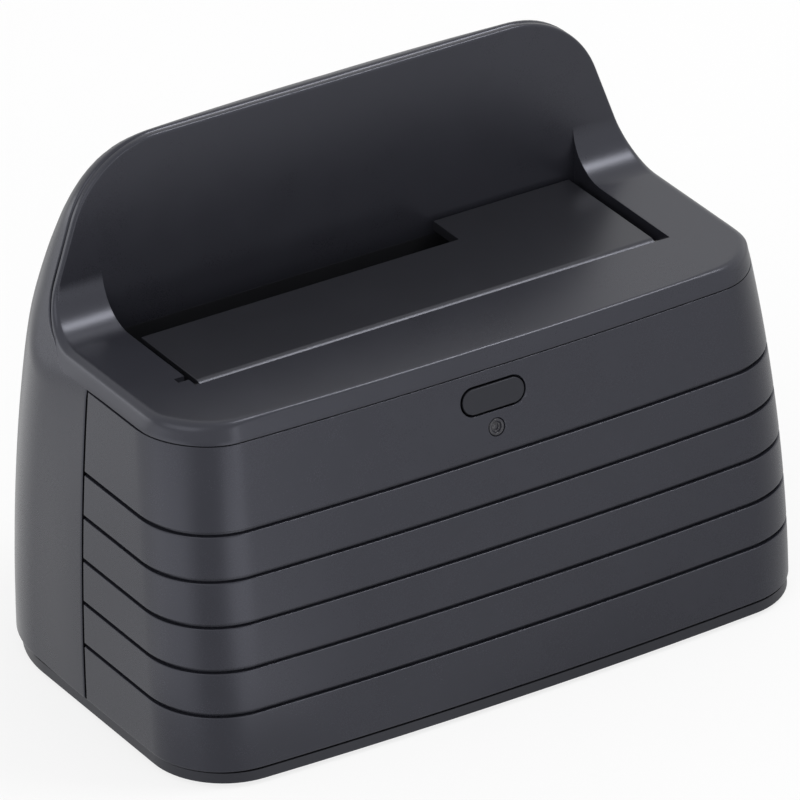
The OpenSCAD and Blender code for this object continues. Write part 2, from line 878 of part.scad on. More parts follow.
// Torsion spring round the hinge pin: one unbroken wire, its leg on the well's front wall
function coil_point(i) =
    let (a = 180 + i * 360 / spring_steps)
    [spring_len * i / (spring_turns * spring_steps), coil_r * cos(a), coil_r * sin(a)];
spring_path = concat(
    [[0, slot_front - hinge_y + spring_wire_r, -spring_leg], [0, -coil_r, -barrel_r]],
    [for (i = [0 : spring_turns * spring_steps]) coil_point(i)]
);
function along_path(p, i) =
    let (d = p[min(i + 1, len(p) - 1)] - p[max(i - 1, 0)])
    d / norm(d);
function ring(p, i, r) =
    let (t = along_path(p, i), u = cross([1, 0, 0], t) / norm(cross([1, 0, 0], t)), v = cross(t, u))
    [for (k = [0 : spring_sides - 1])
        p[i] + r * (cos(k * 360 / spring_sides) * u + sin(k * 360 / spring_sides) * v)];

module flap_spring() {
    n = len(spring_path);
    s = spring_sides;
    rings = [for (i = [0 : n - 1]) each ring(spring_path, i, spring_wire_r)];
    sides = [for (i = [0 : n - 2], k = [0 : s - 1])
        let (a = i * s + k, b = i * s + (k + 1) % s)
        each [[a, b, b + s], [a, b + s, a + s]]];
    caps = [for (k = [1 : s - 2]) each [[0, k + 1, k], [(n - 1) * s, (n - 1) * s + k, (n - 1) * s + k + 1]]];
    color("silver")
        translate([spring_x - spring_len / 2, hinge_y, hinge_z])
            polyhedron(rings, concat(sides, caps));
}

module power_button() {
    flange_y = wall + button_gap;
    color("#303035")
        on_fascia(button_z) {
            pill_in(button_l, button_h, -button_proud, flange_y);
            pill_in(button_l + 2 * button_flange, button_h + 2 * button_flange, flange_y,
                flange_y + button_flange_t);
            rod_in(plunger_r, flange_y, stem_end);
        }
}

module switch_plunger() {
    color("#202020")
        on_fascia(button_z)
            rod_in(plunger_r, switch_front - plunger_out, switch_front + plunger_out / 2);
}

module switch_body() {
    color("#404048")
        on_fascia(button_z)
            difference() {
                translate([-switch_w / 2, switch_front, -switch_w / 2])
                    cube([switch_w, switch_h, switch_w]);
                rod_in(plunger_r + plunger_clear, switch_front - over,
                    switch_front + plunger_out / 2 + button_travel + plunger_clear);
            }
}

module switch_board() {
    color("#1f5a38")
        on_fascia(button_z)
            difference() {
                translate([-switch_board_w / 2, switch_board_y, switch_mid - switch_board_h / 2])
                    cube([switch_board_w, board_t, switch_board_h]);
                mirror_x()
                    translate([switch_boss_x, 0, switch_mid])
                        rod_in(screw_r + screw_clear, 0, far);
            }
}

module switch_board_screws() {
    color("silver")
        on_fascia(button_z)
            mirror_x()
                translate([switch_boss_x, switch_board_y + board_t, switch_mid])
                    rotate([90, 0, 0])
                        screw(board_t + wall);
}

module indicator_led() {
    color("white")
        on_fascia(button_z)
            translate([0, 0, -lens_drop])
                rod_in(led_r, switch_front, switch_board_y);
}

module indicator_lens() {
    color("#8a8f98")
        on_fascia(button_z)
            translate([0, 0, -lens_drop])
                rod_in(lens_r, 0, switch_front);
}

// Flat cable from the switch board's header down to the main board's, seen from the side
module ribbon_cable() {
    plug = switch_board_y + board_t + header_t / 2;
    plug_z = switch_mid - switch_board_h / 2;
    front_end = fascia_point(plug - cable_t / 2, plug_z);
    back_end = fascia_point(plug + cable_t / 2, plug_z);
    foot_z = board_top + header_h;
    bend_z = (front_end[1] + board_top) / 2;
    color("#b8b8b8")
        across(cable_w)
            polygon([
                front_end, [header_y - cable_t / 2, bend_z], [header_y - cable_t / 2, foot_z],
                [header_y + cable_t / 2, foot_z], [header_y + cable_t / 2, bend_z], back_end
            ]);
}

module cable_headers() {
    color("#e6e2d6") {
        translate([-header_w / 2, header_y - header_t / 2, board_top])
            cube([header_w, header_t, header_h]);
        on_fascia(button_z)
            translate([-header_w / 2, switch_board_y + board_t, switch_mid - switch_board_h / 2])
                cube([header_w, header_t, header_h]);
    }
}

module main_board() {
    color("#1f5a38")
        difference() {
            translate([-board_w / 2, board_front, board_z])
                cube([board_w, board_d, board_t]);
            for (x = board_screw_xs, y = board_screw_ys)
                translate([x, y, 0])
                    screw_hole(0, far);
        }
}

module board_screws() {
    color("silver")
        for (x = board_screw_xs, y = board_screw_ys)
            translate([x, y, board_top])
                rotate([180, 0, 0])
                    screw(board_t + board_screw_bite);
}

module sata_socket() {
    color("#1c1c1e")
        translate([socket_x, socket_y, 0])
            difference() {
                translate([-socket_w / 2, -socket_t / 2, board_top])
                    cube([socket_w, socket_t, socket_top - board_top]);
                translate([-contact_span / 2, -contact_slot_t / 2, socket_top - contact_slot_depth])
                    cube([contact_span, contact_slot_t, contact_slot_depth + over]);
            }
}

module sata_contacts() {
    first = -(contact_count - 1) / 2 * contact_pitch - contact_w / 2;
    color("gold")
        translate([socket_x, socket_y + contact_slot_t / 2 - contact_t, socket_top - contact_slot_depth])
            for (i = [0 : contact_count - 1])
                translate([first + i * contact_pitch, 0, 0])
                    cube([contact_w, contact_t, contact_h]);
}

module usb_shell() {
    color("silver")
        translate([usb_x, 0, board_top])
            difference() {
                translate([-usb_w / 2, port_mouth - usb_l, 0])
                    cube([usb_w, usb_l, usb_h]);
                translate([-usb_w / 2 + usb_t, port_mouth - usb_l + usb_t, usb_t])
                    cube([usb_w - 2 * usb_t, usb_l, usb_h - 2 * usb_t]);
            }
}

module usb_tongue() {
    color("#2060b0")
        translate([usb_x, port_mouth - usb_l + usb_t, board_top]) {
            translate([-usb_w / 2 + usb_t, 0, usb_t])
                cube([usb_w - 2 * usb_t, tongue_block_l, usb_h - 2 * usb_t]);
            translate([-tongue_w / 2, 0, tongue_z])
                cube([tongue_w, usb_l - usb_t - tongue_recess, tongue_t]);
        }
}

module power_jack() {
    color("#1c1c1e")
        translate([jack_x, port_mouth, board_top])
            difference() {
                translate([-jack_w / 2, -jack_l, 0])
                    cube([jack_w, jack_l, jack_h]);
                translate([0, 0, jack_h / 2])
                    rod_in(jack_bore_r, -jack_bore_l, over);
            }
}

module power_jack_pin() {
    color("silver")
        translate([jack_x, port_mouth, board_top + jack_h / 2])
            rod_in(jack_pin_r, -jack_bore_l, -over);
}

module bridge_chip() {
    color("#18181a")
        translate([-chip_w / 2, chip_y - chip_w / 2, board_top])
            cube([chip_w, chip_w, chip_h]);
}

module capacitors() {
    first = jack_x + jack_w / 2 + part_gap + capacitor_r;
    color("#2b3a5a")
        for (i = [0 : capacitor_count - 1])
            translate([first + i * (2 * capacitor_r + capacitor_gap), board_back - part_back, board_top])
                cylinder(r = capacitor_r, h = capacitor_h);
}

module inductor() {
    color("#3a3a3c")
        translate([-inductor_w / 2, board_back - part_back - inductor_w / 2, board_top])
            cube([inductor_w, inductor_w, inductor_h]);
}

module crystal() {
    color("#c9c9c9")
        translate([chip_w / 2 + part_gap, chip_y - crystal_w / 2, board_top])
            cube([crystal_l, crystal_w, crystal_h]);
}

top_cover();
front_fascia();
rear_shell();
base_plate();
drive_well();
well_screws();
flap_door();
flap_hinge_pin();
flap_spring();
power_button();
switch_plunger();
switch_body();
switch_board();
switch_board_screws();
indicator_led();
indicator_lens();
ribbon_cable();
cable_headers();
main_board();
board_screws();
sata_socket();
sata_contacts();
usb_shell();
usb_tongue();
power_jack();
power_jack_pin();
bridge_chip();
capacitors();
inductor();
crystal();
base_screws();
rubber_feet();
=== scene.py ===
"""Looks of a hard drive docking station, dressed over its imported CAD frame. Lengths are in millimetres."""

import logging
import math
from contextlib import contextmanager
from dataclasses import dataclass, field
from enum import Enum
from typing import Any, Iterable, Iterator, Optional, Sequence, Union

import bmesh
import bpy
import numpy as np
from mathutils import Matrix, Vector


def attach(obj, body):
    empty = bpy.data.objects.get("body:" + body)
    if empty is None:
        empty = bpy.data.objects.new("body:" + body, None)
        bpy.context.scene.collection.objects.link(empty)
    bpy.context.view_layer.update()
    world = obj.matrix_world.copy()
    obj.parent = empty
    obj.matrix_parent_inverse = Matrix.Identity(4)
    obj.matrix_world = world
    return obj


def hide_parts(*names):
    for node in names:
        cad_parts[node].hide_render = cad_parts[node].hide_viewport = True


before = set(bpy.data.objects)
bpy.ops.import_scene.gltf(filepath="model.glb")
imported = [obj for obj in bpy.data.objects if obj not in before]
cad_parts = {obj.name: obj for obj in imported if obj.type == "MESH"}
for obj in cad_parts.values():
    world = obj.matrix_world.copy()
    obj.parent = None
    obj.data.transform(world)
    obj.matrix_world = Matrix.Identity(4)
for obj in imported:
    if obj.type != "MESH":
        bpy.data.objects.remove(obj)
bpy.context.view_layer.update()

MM = 0.001
RIGHT_ANGLE = math.pi / 2
ACROSS = np.array([1.0, 0.0, 0.0])
MIRROR = np.array([-1.0, 1.0, 1.0])
WHITE = (1.0, 1.0, 1.0, 1.0)
SHARP_EDGE = 1e-6
STEP_IN = 6.0
Grid = np.ndarray
Colour = tuple[float, float, float]
log = logging.getLogger("dock")


class Rides(Enum):
    """The CAD body that the new pieces move with."""

    DOCK = "dock"


class Half(Enum):
    """The two moulded halves of the body that meet at the side seam."""

    FRONT = "front"
    REAR = "rear"


# Shader maths

class Value:
    """A node's output, which adds Math nodes when it is used in sums."""

    def __init__(self, nodes: "Nodes", socket: bpy.types.NodeSocket) -> None:
        """Keeps the socket and the tree it belongs to."""
        self.nodes = nodes
        self.socket = socket

    def _math(self, operation: str, first: Any, second: Any) -> "Value":
        """Adds one Math node."""
        return self.nodes.add("ShaderNodeMath", {"operation": operation}, {0: first, 1: second})

    def __add__(self, other: Any) -> "Value":
        """Sum."""
        return self._math("ADD", self, other)

    def __sub__(self, other: Any) -> "Value":
        """Difference."""
        return self._math("SUBTRACT", self, other)

    def __rsub__(self, other: Any) -> "Value":
        """Difference, the other way round."""
        return self._math("SUBTRACT", other, self)

    def __mul__(self, other: Any) -> "Value":
        """Product."""
        return self._math("MULTIPLY", self, other)

    def __or__(self, other: Any) -> "Value":
        """The greater of the two."""
        return self._math("MAXIMUM", self, other)


Input = Union[Value, float, Sequence[float]]


class Nodes:
    """A node tree, with one method that adds any node."""

    def __init__(self, tree: bpy.types.NodeTree) -> None:
        """Keeps the tree."""
        self.tree = tree

    def put(self, socket: bpy.types.NodeSocket, value: Input) -> None:
        """Sets an input socket, or links it.

        Args:
            socket: the input.
            value: a plain value, or an output to link.
        """
        if isinstance(value, Value):
            self.tree.links.new(value.socket, socket)
        else:
            socket.default_value = value

    def add(self, kind: str, settings: Optional[dict[str, Any]] = None,
            inputs: Optional[dict[Any, Input]] = None, output: Union[int, str] = 0) -> Value:
        """Adds one node.

        Args:
            kind: the node's type.
            settings: the node's own properties, set before its sockets.
            inputs: values or links for its sockets.
            output: which output to return.

        Returns:
            The chosen output.
        """
        node = self.tree.nodes.new(kind)
        for key, value in (settings or {}).items():
            setattr(node, key, value)
        for key, value in (inputs or {}).items():
            self.put(node.inputs[key], value)
        return Value(self, node.outputs[output])

    def rays(self, *kinds: str) -> list[Value]:
        """For each kind of light ray, an output that is 1 for that kind."""
        return [self.add("ShaderNodeLightPath", output=kind) for kind in kinds]

    def choose(self, amount: Value, first: Value, second: Value) -> Value:
        """Mixes two shaders: 0 shows the first, 1 the second."""
        return self.add("ShaderNodeMixShader", None, {0: amount, 1: first, 2: second})


class Shader(Nodes):
    """A material's node tree round a Principled shader."""

    def __init__(self, name: str) -> None:
        """Makes the material.

        Args:
            name: its name.
        """
        self.material = bpy.data.materials.new(name)
        self.material.use_nodes = True
        super().__init__(self.material.node_tree)
        self.principled = self.tree.nodes["Principled BSDF"]

    def place(self) -> Value:
        """The point's place in the row frame, in metres."""
        return self.add("ShaderNodeTexCoord", output="Object")

    def noise(self, size: float, detail: float = 2.0, roughness: float = 0.5) -> Value:
        """Noise whose lumps are about size millimetres across.

        Args:
            size: width of a lump.
            detail: octaves.
            roughness: share of the finer octaves.

        Returns:
            A value from 0 to 1.
        """
        return self.add("ShaderNodeTexNoise", {"noise_dimensions": "3D"},
                        {"Vector": self.place(), "Scale": 1 / (size * MM), "Detail": detail,
                         "Roughness": roughness}, "Fac")

    def blend(self, amount: Value, first: Input, second: Input) -> Value:
        """Mixes two colours: 0 shows the first, 1 the second."""
        return self.add("ShaderNodeMix", {"data_type": "RGBA"}, {0: amount, 6: first, 7: second}, 2)

    def ease(self, value: Value, start: float, end: float) -> Value:
        """Rises smoothly from 0 at start to 1 at end."""
        return self.add("ShaderNodeMapRange", {"interpolation_type": "SMOOTHSTEP"},
                        {"Value": value, "From Min": start, "From Max": end}, "Result")

    def bump(self, height: Value, depth: float, strength: float = 1.0) -> Value:
        """A normal from a height of 0 to 1, which stands for depth millimetres."""
        return self.add("ShaderNodeBump", None,
                        {"Height": height, "Distance": depth * MM, "Strength": strength}, "Normal")

    def surface(self, **sockets: Input) -> bpy.types.Material:
        """Fills the Principled shader's sockets.

        Args:
            sockets: values or links, named with _ for spaces.

        Returns:
            The material.
        """
        for key, value in sockets.items():
            self.put(self.principled.inputs[key.replace("_", " ")], value)
        return self.material


# Finishes

@dataclass(frozen=True)
class Finish:
    """A named colour that can be made into a material."""

    name: str
    colour: Colour

    def gain(self, amount: float) -> tuple[float, ...]:
        """The colour with full alpha, brightened."""
        return tuple(c * amount for c in self.colour) + (1.0,)

    def tone(self, s: Shader, share: Value, low: float, high: float) -> Value:
        """The colour, from a low to a high brightness by a share from 0 to 1."""
        return s.blend(share, self.gain(low), self.gain(high))


@dataclass(frozen=True)
class MouldedPlastic(Finish):
    """Injection-moulded plastic: spark-eroded grain, faint flow mottling, handled patches."""

    roughness: float = 0.42
    grain: float = 0.22
    grain_depth: float = 0.006
    mottle: float = 0.12
    flow: float = 9.0
    patch: float = 28.0
    ior: float = 1.5
    tint: tuple[float, ...] = (0.85, 0.87, 1.0, 1.0)

    def material(self) -> bpy.types.Material:
        """Builds the material.

        Returns:
            The material.
        """
        s = Shader(self.name)
        fine = s.noise(self.grain, 2.0, 0.6)
        flow = s.noise(self.flow, 3.0, 0.55)
        handled = s.noise(self.patch)
        rough = (flow - 0.5) * 0.05 + (handled - 0.5) * 0.08 + (fine - 0.5) * 0.06 + self.roughness
        return s.surface(Base_Color=self.tone(s, flow, 1 - self.mottle, 1 + self.mottle), Roughness=rough,
                         Normal=s.bump(fine, self.grain_depth), IOR=self.ior, Specular_Tint=self.tint)


@dataclass(frozen=True)
class PlatedMetal(Finish):
    """Plated steel, brass or aluminium with fine drawn scratches."""

    roughness: float = 0.3
    scratches: float = 900.0
    stretch: tuple[float, float, float] = (1.0, 14.0, 14.0)
    tarnish: float = 3.0

    def material(self) -> bpy.types.Material:
        """Builds the material.

        Returns:
            The material.
        """
        s = Shader(self.name)
        along = s.add("ShaderNodeMapping", None, {"Vector": s.place(), "Scale": self.stretch})
        drawn = s.add("ShaderNodeTexNoise", None,
                      {"Vector": along, "Scale": self.scratches, "Detail": 3.0}, "Fac")
        tarnish = s.noise(self.tarnish, 3.0)
        rough = (drawn - 0.5) * 0.16 + (tarnish - 0.5) * 0.1 + self.roughness
        return s.surface(Base_Color=self.tone(s, tarnish, 0.86, 1.05), Roughness=rough, Metallic=1.0,
                         Normal=s.bump(drawn, 0.002))


@dataclass(frozen=True)
class SolderMask(Finish):
    """Circuit board lacquer with copper tracks showing through."""

    track: Colour
    track_scale: float = 260.0
    weave: float = 0.6

    def material(self) -> bpy.types.Material:
        """Builds the material.

        Returns:
            The material.
        """
        s = Shader(self.name)
        tracks = s.add("ShaderNodeTexBrick", {"offset": 0.35},
                       {"Vector": s.place(), "Scale": self.track_scale, "Mortar Size": 0.12,
                        "Mortar Smooth": 0.2, "Brick Width": 1.3, "Row Height": 0.45}, "Fac")
        weave = s.noise(self.weave)
        copper = s.blend(tracks * 0.6, self.tone(s, weave, 0.85, 1.15), (*self.track, 1.0))
        return s.surface(Base_Color=copper, Roughness=(weave - 0.5) * 0.12 + 0.34,
                         Normal=s.bump(tracks, 0.02, 0.6))


@dataclass(frozen=True)
class RibbonSheath(Finish):
    """Flat cable: parallel insulated wires."""

    pitch: float = 1.0
    dirt: float = 4.0

    def material(self) -> bpy.types.Material:
        """Builds the material.

        Returns:
            The material.
        """
        s = Shader(self.name)
        wires = s.add("ShaderNodeTexWave", {"wave_type": "BANDS", "bands_direction": "X"},
                      {"Vector": s.place(), "Scale": 0.314 / (self.pitch * MM)}, "Fac")
        dirt = s.noise(self.dirt)
        return s.surface(Base_Color=self.tone(s, wires * 0.8 + dirt * 0.2, 0.55, 1.1),
                         Roughness=dirt * 0.15 + 0.4, Normal=s.bump(wires, 0.25))


@dataclass(frozen=True)
class LensPlastic(Finish):
    """Smooth moulded lens, clear or smoked."""

    roughness: float = 0.12
    haze: float = 1.2
    ior: float = 1.49

    def material(self) -> bpy.types.Material:
        """Builds the material.

        Returns:
            The material.
        """
        s = Shader(self.name)
        haze = s.noise(self.haze)
        return s.surface(Base_Color=self.tone(s, haze, 0.9, 1.1), Roughness=haze * 0.06 + self.roughness,
                         IOR=self.ior)


Dressing = Union[MouldedPlastic, PlatedMetal, SolderMask, RibbonSheath, LensPlastic]

CHARCOAL = MouldedPlastic("satin_charcoal", (0.0160, 0.0164, 0.0218), 0.27)
COVER = MouldedPlastic("satin_charcoal_cover", (0.0190, 0.0194, 0.0252), 0.29, 0.18, 0.003)
BASE = MouldedPlastic("satin_charcoal_base", (0.0130, 0.0132, 0.0160), 0.40)
FLAP = MouldedPlastic("satin_charcoal_flap", (0.0150, 0.0152, 0.0185), 0.30, 0.18, 0.003)
KEY = MouldedPlastic("smooth_charcoal_key", (0.0036, 0.0038, 0.0052), 0.5, 0.15, 0.003)
WELL = MouldedPlastic("matt_black_well", (0.0120, 0.0122, 0.0140), 0.42, 0.3)
BLACK = MouldedPlastic("black_nylon", (0.012, 0.012, 0.013), 0.45)
CREAM = MouldedPlastic("cream_nylon", (0.62, 0.57, 0.46), 0.48)
BLUE = MouldedPlastic("blue_insulator", (0.010, 0.085, 0.42), 0.42)
FERRITE = MouldedPlastic("moulded_ferrite", (0.055, 0.055, 0.058), 0.6, 0.4, 0.02)
RUBBER = MouldedPlastic("soft_rubber", (0.010, 0.010, 0.0105), 0.75, 0.5, 0.03)
STEEL = PlatedMetal("plated_steel", (0.60, 0.60, 0.61), 0.28)
GILT = PlatedMetal("gilt_contact", (0.86, 0.62, 0.22), 0.24)
CAN = PlatedMetal("sleeved_can", (0.24, 0.28, 0.38), 0.38)
BOARD = SolderMask("green_solder_mask", (0.012, 0.115, 0.045), (0.030, 0.200, 0.085))
RIBBON = RibbonSheath("grey_ribbon", (0.42, 0.42, 0.42))
CLEAR = LensPlastic("clear_lamp", (0.80, 0.82, 0.84))
SMOKED = LensPlastic("smoked_lens", (0.021, 0.021, 0.028), 0.16)


# Form of the body

def ease_in(value: Grid, start: float, end: float) -> Grid:
    """0 up to start, 1 from end on, and a smooth step between."""
    t = np.clip((value - start) / (end - start), 0, 1)
    return t * t * (3 - 2 * t)


def unit(v: Grid) -> Grid:
    """Vectors along the last axis, brought to length 1."""
    return v / np.linalg.norm(v, axis=-1, keepdims=True)


def soft_max(first: Grid, second: Grid, width: Grid) -> Grid:
    """Overlap of two distance fields, eased where they are nearer to each other than width."""
    near = np.maximum(width - np.abs(first - second), 0)
    return np.maximum(first, second) + near ** 2 / (4 * width)


@dataclass(frozen=True)
class FaceCurve:
    """One half's curves: an upright arc about an axis along X, its bow and its corners in plan."""

    half_w: float
    axis_y: float
    axis_z: float
    r: float
    bow_r: float
    corner_r: float
    way: int

    @property
    def corner(self) -> tuple[float, float, float]:
        """The corner's centre in plan.

        Returns:
            Its reach off the axis, its place across, and the bow's angle there.
        """
        across = self.half_w - self.corner_r
        ahead = math.sqrt((self.bow_r - self.corner_r) ** 2 - across ** 2)
        return self.r - self.bow_r + ahead, across, math.atan2(across, ahead)

    def distance(self, x: Grid, y: Grid, z: Grid) -> Grid:
        """How far points lie out of the bowed face, its corners and the side.

        Args:
            x: places across, right half only.
            y: depths.
            z: heights.

        Returns:
            Distances, negative inside.
        """
        rho = np.hypot(y - self.axis_y, z - self.axis_z)
        bow = np.hypot(rho - self.r + self.bow_r, x) - self.bow_r
        c_rho, c_x, angle = self.corner
        ahead, across = rho - c_rho, x - c_x
        turned = (ahead > 0) & (across > ahead * math.tan(angle))
        return np.where(turned, np.hypot(ahead, across) - self.corner_r, np.maximum(bow, x - self.half_w))


@dataclass(frozen=True)
class BodyForm:
    """Outside of the body, in the row frame: leaning sides, curved front and back, and the fin."""

    half_w: float = 68.6
    depth: float = 84.0
    side_lean: float = math.radians(1.56)
    foot_h: float = 1.0
    base_top: float = 3.0
    seam_z: float = 65.8
    deck_z: float = 69.6
    top_z: float = 102.4
    seam_y: float = -2.4
    seam_lean: float = math.radians(2.6)
    seam_gap: float = 0.4
    belly: float = 0.75
    belly_z: float = 22.0
    belly_r: float = 560.0
    belly_x: tuple[float, float] = (50.0, 64.0)
    belly_end: float = 22.0
    wall: float = 2.0
    fin_y: float = 17.5
    fin_draft: float = math.radians(3.2)
    fin_top_t: float = 3.9
    fin_sheet: float = 1.3
    fin_corner_r: float = 20.0
    fin_foot: float = 64.4
    fin_lean: float = math.radians(19.8)
    shoulder_r: float = 9.5
    lip_turn: float = 0.55
    slot_half: float = 51.75
    slot_front: float = -14.15
    front_r: float = 390.0
    front_drop: float = 25.6
    front_bow: float = 1000.0
    front_corner: float = 15.0
    rear_r: float = 250.0
    rear_bow: float = 700.0
    rear_corner: float = 23.0
    rear_plumb_z: float = 21.0
    rear_turn_z: float = 61.0
    roll_z: tuple[float, ...] = (66.0, 76.0, 92.0, 102.4)
    roll: tuple[float, ...] = (0.5, 2.0, 2.0, 0.9)
    back_roll: float = 1.8
    back_y: tuple[float, float] = (18.5, 30.0)
    core_x: float = 55.0

    @property
    def front(self) -> FaceCurve:
        """The front face."""
        axis_y = -self.depth / 2 + math.sqrt(self.front_r ** 2 - (self.foot_h + self.front_drop) ** 2)
        return FaceCurve(self.half_w, axis_y, -self.front_drop, self.front_r, self.front_bow,
                         self.front_corner, -1)

    @property
    def rear(self) -> FaceCurve:
        """The lower back."""
        axis_y = self.depth / 2 - self.rear_r
        return FaceCurve(self.half_w, axis_y, self.rear_plumb_z, self.rear_r, self.rear_bow,
                         self.rear_corner, 1)

    @property
    def turn(self) -> tuple[np.ndarray, np.ndarray]:
        """Side view of the line at which the lower back gives way to the dome.

        Returns:
            A point and the back's normal there.
        """
        angle = math.asin((self.rear_turn_z - self.rear_plumb_z) / self.rear_r)
        normal = np.array([math.cos(angle), math.sin(angle)])
        return np.array([self.rear.axis_y, self.rear_plumb_z]) + self.rear_r * normal, normal

    @property
    def dome(self) -> FaceCurve:
        """The upper back, which rolls over to the fin's top edge.

        Returns:
            Its curves.
        """
        point, normal = self.turn
        span = point - np.array([self.fin_face(self.top_z) + self.fin_top_t, self.top_z])
        radius = float(span @ span / (2 * span @ normal))
        y, z = map(float, point - radius * normal)
        return FaceCurve(self.half_w, y, z, radius, self.rear_bow, self.rear_corner, 1)

    @property
    def shoulder(self) -> tuple[float, float]:
        """Centre of the shoulder's curve in side view: y and z."""
        z = self.deck_z + self.shoulder_r
        return float(self.fin_face(z)) - self.shoulder_r / math.cos(self.fin_draft), z

    @property
    def fin_corner(self) -> tuple[float, float]:
        """Centre of the fin's right top corner in front view.

        Returns:
            Its x and z.
        """
        top_half = self.fin_foot - (self.top_z - self.deck_z) * math.tan(self.fin_lean)
        r = self.fin_corner_r
        return top_half + r * math.tan(self.fin_lean) - r / math.cos(self.fin_lean), self.top_z - r

    def seam_at(self, z: Union[float, Grid]) -> Union[float, Grid]:
        """Depth at a height of the side seam, which leans back a little."""
        return self.seam_y + z * math.tan(self.seam_lean)

    def swell(self, x: Grid, y: Grid, z: Grid) -> Grid:
        """How far the sides' belly lies outside their straight lean; it fades out towards the back."""
        arc = self.belly - (z - self.belly_z) ** 2 / (2 * self.belly_r)
        return arc * ease_in(np.abs(x), *self.belly_x) * (1 - ease_in(y, 0.0, self.belly_end))

    def fin_arc(self, count: int) -> tuple[Grid, Grid]:
        """Places across and heights round the fin's right top corner, from its side to its top."""
        (cx, cz), t = self.fin_corner, np.linspace(self.fin_lean, RIGHT_ANGLE, count)
        return cx + self.fin_corner_r * np.cos(t), cz + self.fin_corner_r * np.sin(t)

    def fin_face(self, z: Union[float, Grid], back: float = 0.0) -> Union[float, Grid]:
        """Depth at a height of the fin's inner face, or of a face that lies further back."""
        return self.fin_y + (z - self.deck_z) * math.tan(self.fin_draft) + back / math.cos(self.fin_draft)

    def lip(self, a: Grid) -> Grid:
        """Depth of the cover's edge round the shoulder, from the deck's rim to the fin's thin sheet."""
        rim = self.deck_z - self.seam_z
        return rim + (self.fin_sheet - rim) * ease_in(a, 0.0, self.lip_turn)

    def fin(self, x: Grid, z: Grid) -> Grid:
        """How far points lie out of the fin's front view.

        Args:
            x: places across, right half only.
            z: heights.

        Returns:
            Distances, negative inside.
        """
        across, up = math.cos(self.fin_lean), math.sin(self.fin_lean)
        side = (x - self.fin_foot) * across + (z - self.deck_z) * up
        cx, cz = self.fin_corner
        dx, dz = x - cx, z - cz
        turned = (dx > 0) & (dz * across > dx * up)
        return np.where(turned, np.hypot(dx, dz) - self.fin_corner_r, np.maximum(side, z - self.top_z))

    def outside(self, p: Grid) -> Grid:
        """How far points lie out of the whole body, whose edges are rolled.

        Args:
            p: points, last axis x, y, z.

        Returns:
            Distances, negative inside.
        """
        x, y, z = np.abs(p[..., 0]), p[..., 1], p[..., 2]
        plain = x - self.swell(x, y, z)
        xl = plain * math.cos(self.side_lean) + z * math.sin(self.side_lean)
        zl = z * math.cos(self.side_lean) - plain * math.sin(self.side_lean)
        point, normal = self.turn
        above = (zl - point[1]) * normal[0] - (y - point[0]) * normal[1] > 0
        fore, aft, over = (face.distance(xl, y, zl) for face in (self.front, self.rear, self.dome))
        ease = np.interp(z, self.roll_z, self.roll) + self.back_roll * ease_in(y, *self.back_y)
        return soft_max(np.where(y < 0, fore, np.where(above, over, aft)), self.fin(x, z), ease)

    def normal(self, p: Grid) -> Grid:
        """Outward normals of the body.

        Args:
            p: points on or near its surface.

        Returns:
            Unit vectors.
        """
        steps = 1e-3 * np.eye(3)
        return unit(np.stack([self.outside(p + d) - self.outside(p - d) for d in steps], -1))

    def reach(self, start: Grid, way: Grid, inset: Union[float, Grid] = 0.0) -> Grid:
        """Carries points along directions to the body's surface.

        Args:
            start: points near the surface.
            way: unit directions that lead outwards.
            inset: how far below the surface to stop.

        Returns:
            Points on the surface.
        """
        span, halvings = 45.0, 44
        low = np.full(start.shape[:-1], -span)
        high = np.full(start.shape[:-1], span)
        for _ in range(halvings):
            middle = (low + high) / 2
            out = self.outside(start + middle[..., None] * way) + inset > 0
            high = np.where(out, middle, high)
            low = np.where(out, low, middle)
        return start + ((low + high) / 2)[..., None] * way

    def flank(self, y: Grid, z: Union[float, Grid]) -> Grid:
        """Points of the right side at given depths and heights."""
        x, y, z = np.broadcast_arrays(self.core_x, y, z)
        return self.reach(np.stack([x, y, z], 1), ACROSS)

    def wrap(self, half: Half, seam_y: Union[float, Grid], z: Grid, inset: Grid, edge: float) -> Grid:
        """Grid round one half at given heights, from the left seam to the right one.

        Args:
            half: front or rear.
            seam_y: where the half ends, in all rows or row by row.
            z: heights of the rows.
            inset: depth of each row below the surface.
            edge: radius of the half's edge at the seam.

        Returns:
            Points, rows by columns.
        """
        corner_steps, bow_steps, side_steps, edge_steps, edge_land = 22, 46, 9, 5, 1.6
        lean_c, lean_s = math.cos(self.side_lean), math.sin(self.side_lean)
        face = self.front if half is Half.FRONT else self.rear
        z, inset = np.asarray(z, float)[:, None], np.asarray(inset, float)[:, None]
        seam_y = np.asarray(seam_y, float).reshape(-1, 1)
        corner_rho, corner_x, end = face.corner
        corner_r, bow_r = face.corner_r - inset, face.bow_r - inset
        turn = np.linspace(RIGHT_ANGLE, end, corner_steps)[None, :]
        middle = np.arcsin(z * lean_s / bow_r)
        swing = end + (middle - end) * np.linspace(0, 1, bow_steps)[None, 1:]
        rho = np.hstack([corner_rho + corner_r * np.cos(turn), face.r - face.bow_r + bow_r * np.cos(swing)])
        x = np.hstack([corner_x + corner_r * np.sin(turn), bow_r * np.sin(swing)])
        zl = (z - x * lean_s) / lean_c
        y = face.axis_y + face.way * np.sqrt(rho ** 2 - (zl - face.axis_z) ** 2)
        run = np.abs(y[:, :1] - seam_y)
        off = edge * (1 - np.cos(np.linspace(0, RIGHT_ANGLE, edge_steps)))
        off = np.append(off, edge * edge_land)
        share = np.concatenate([off / run.mean(), np.linspace(0, 1, side_steps)[2:-1]])[None, :]
        share = np.repeat(share, len(z), 0)
        share[:, :len(off)] = off / run
        side_y = seam_y + (y[:, :1] - seam_y) * share
        gone = np.clip(edge - share * run, 0, edge)
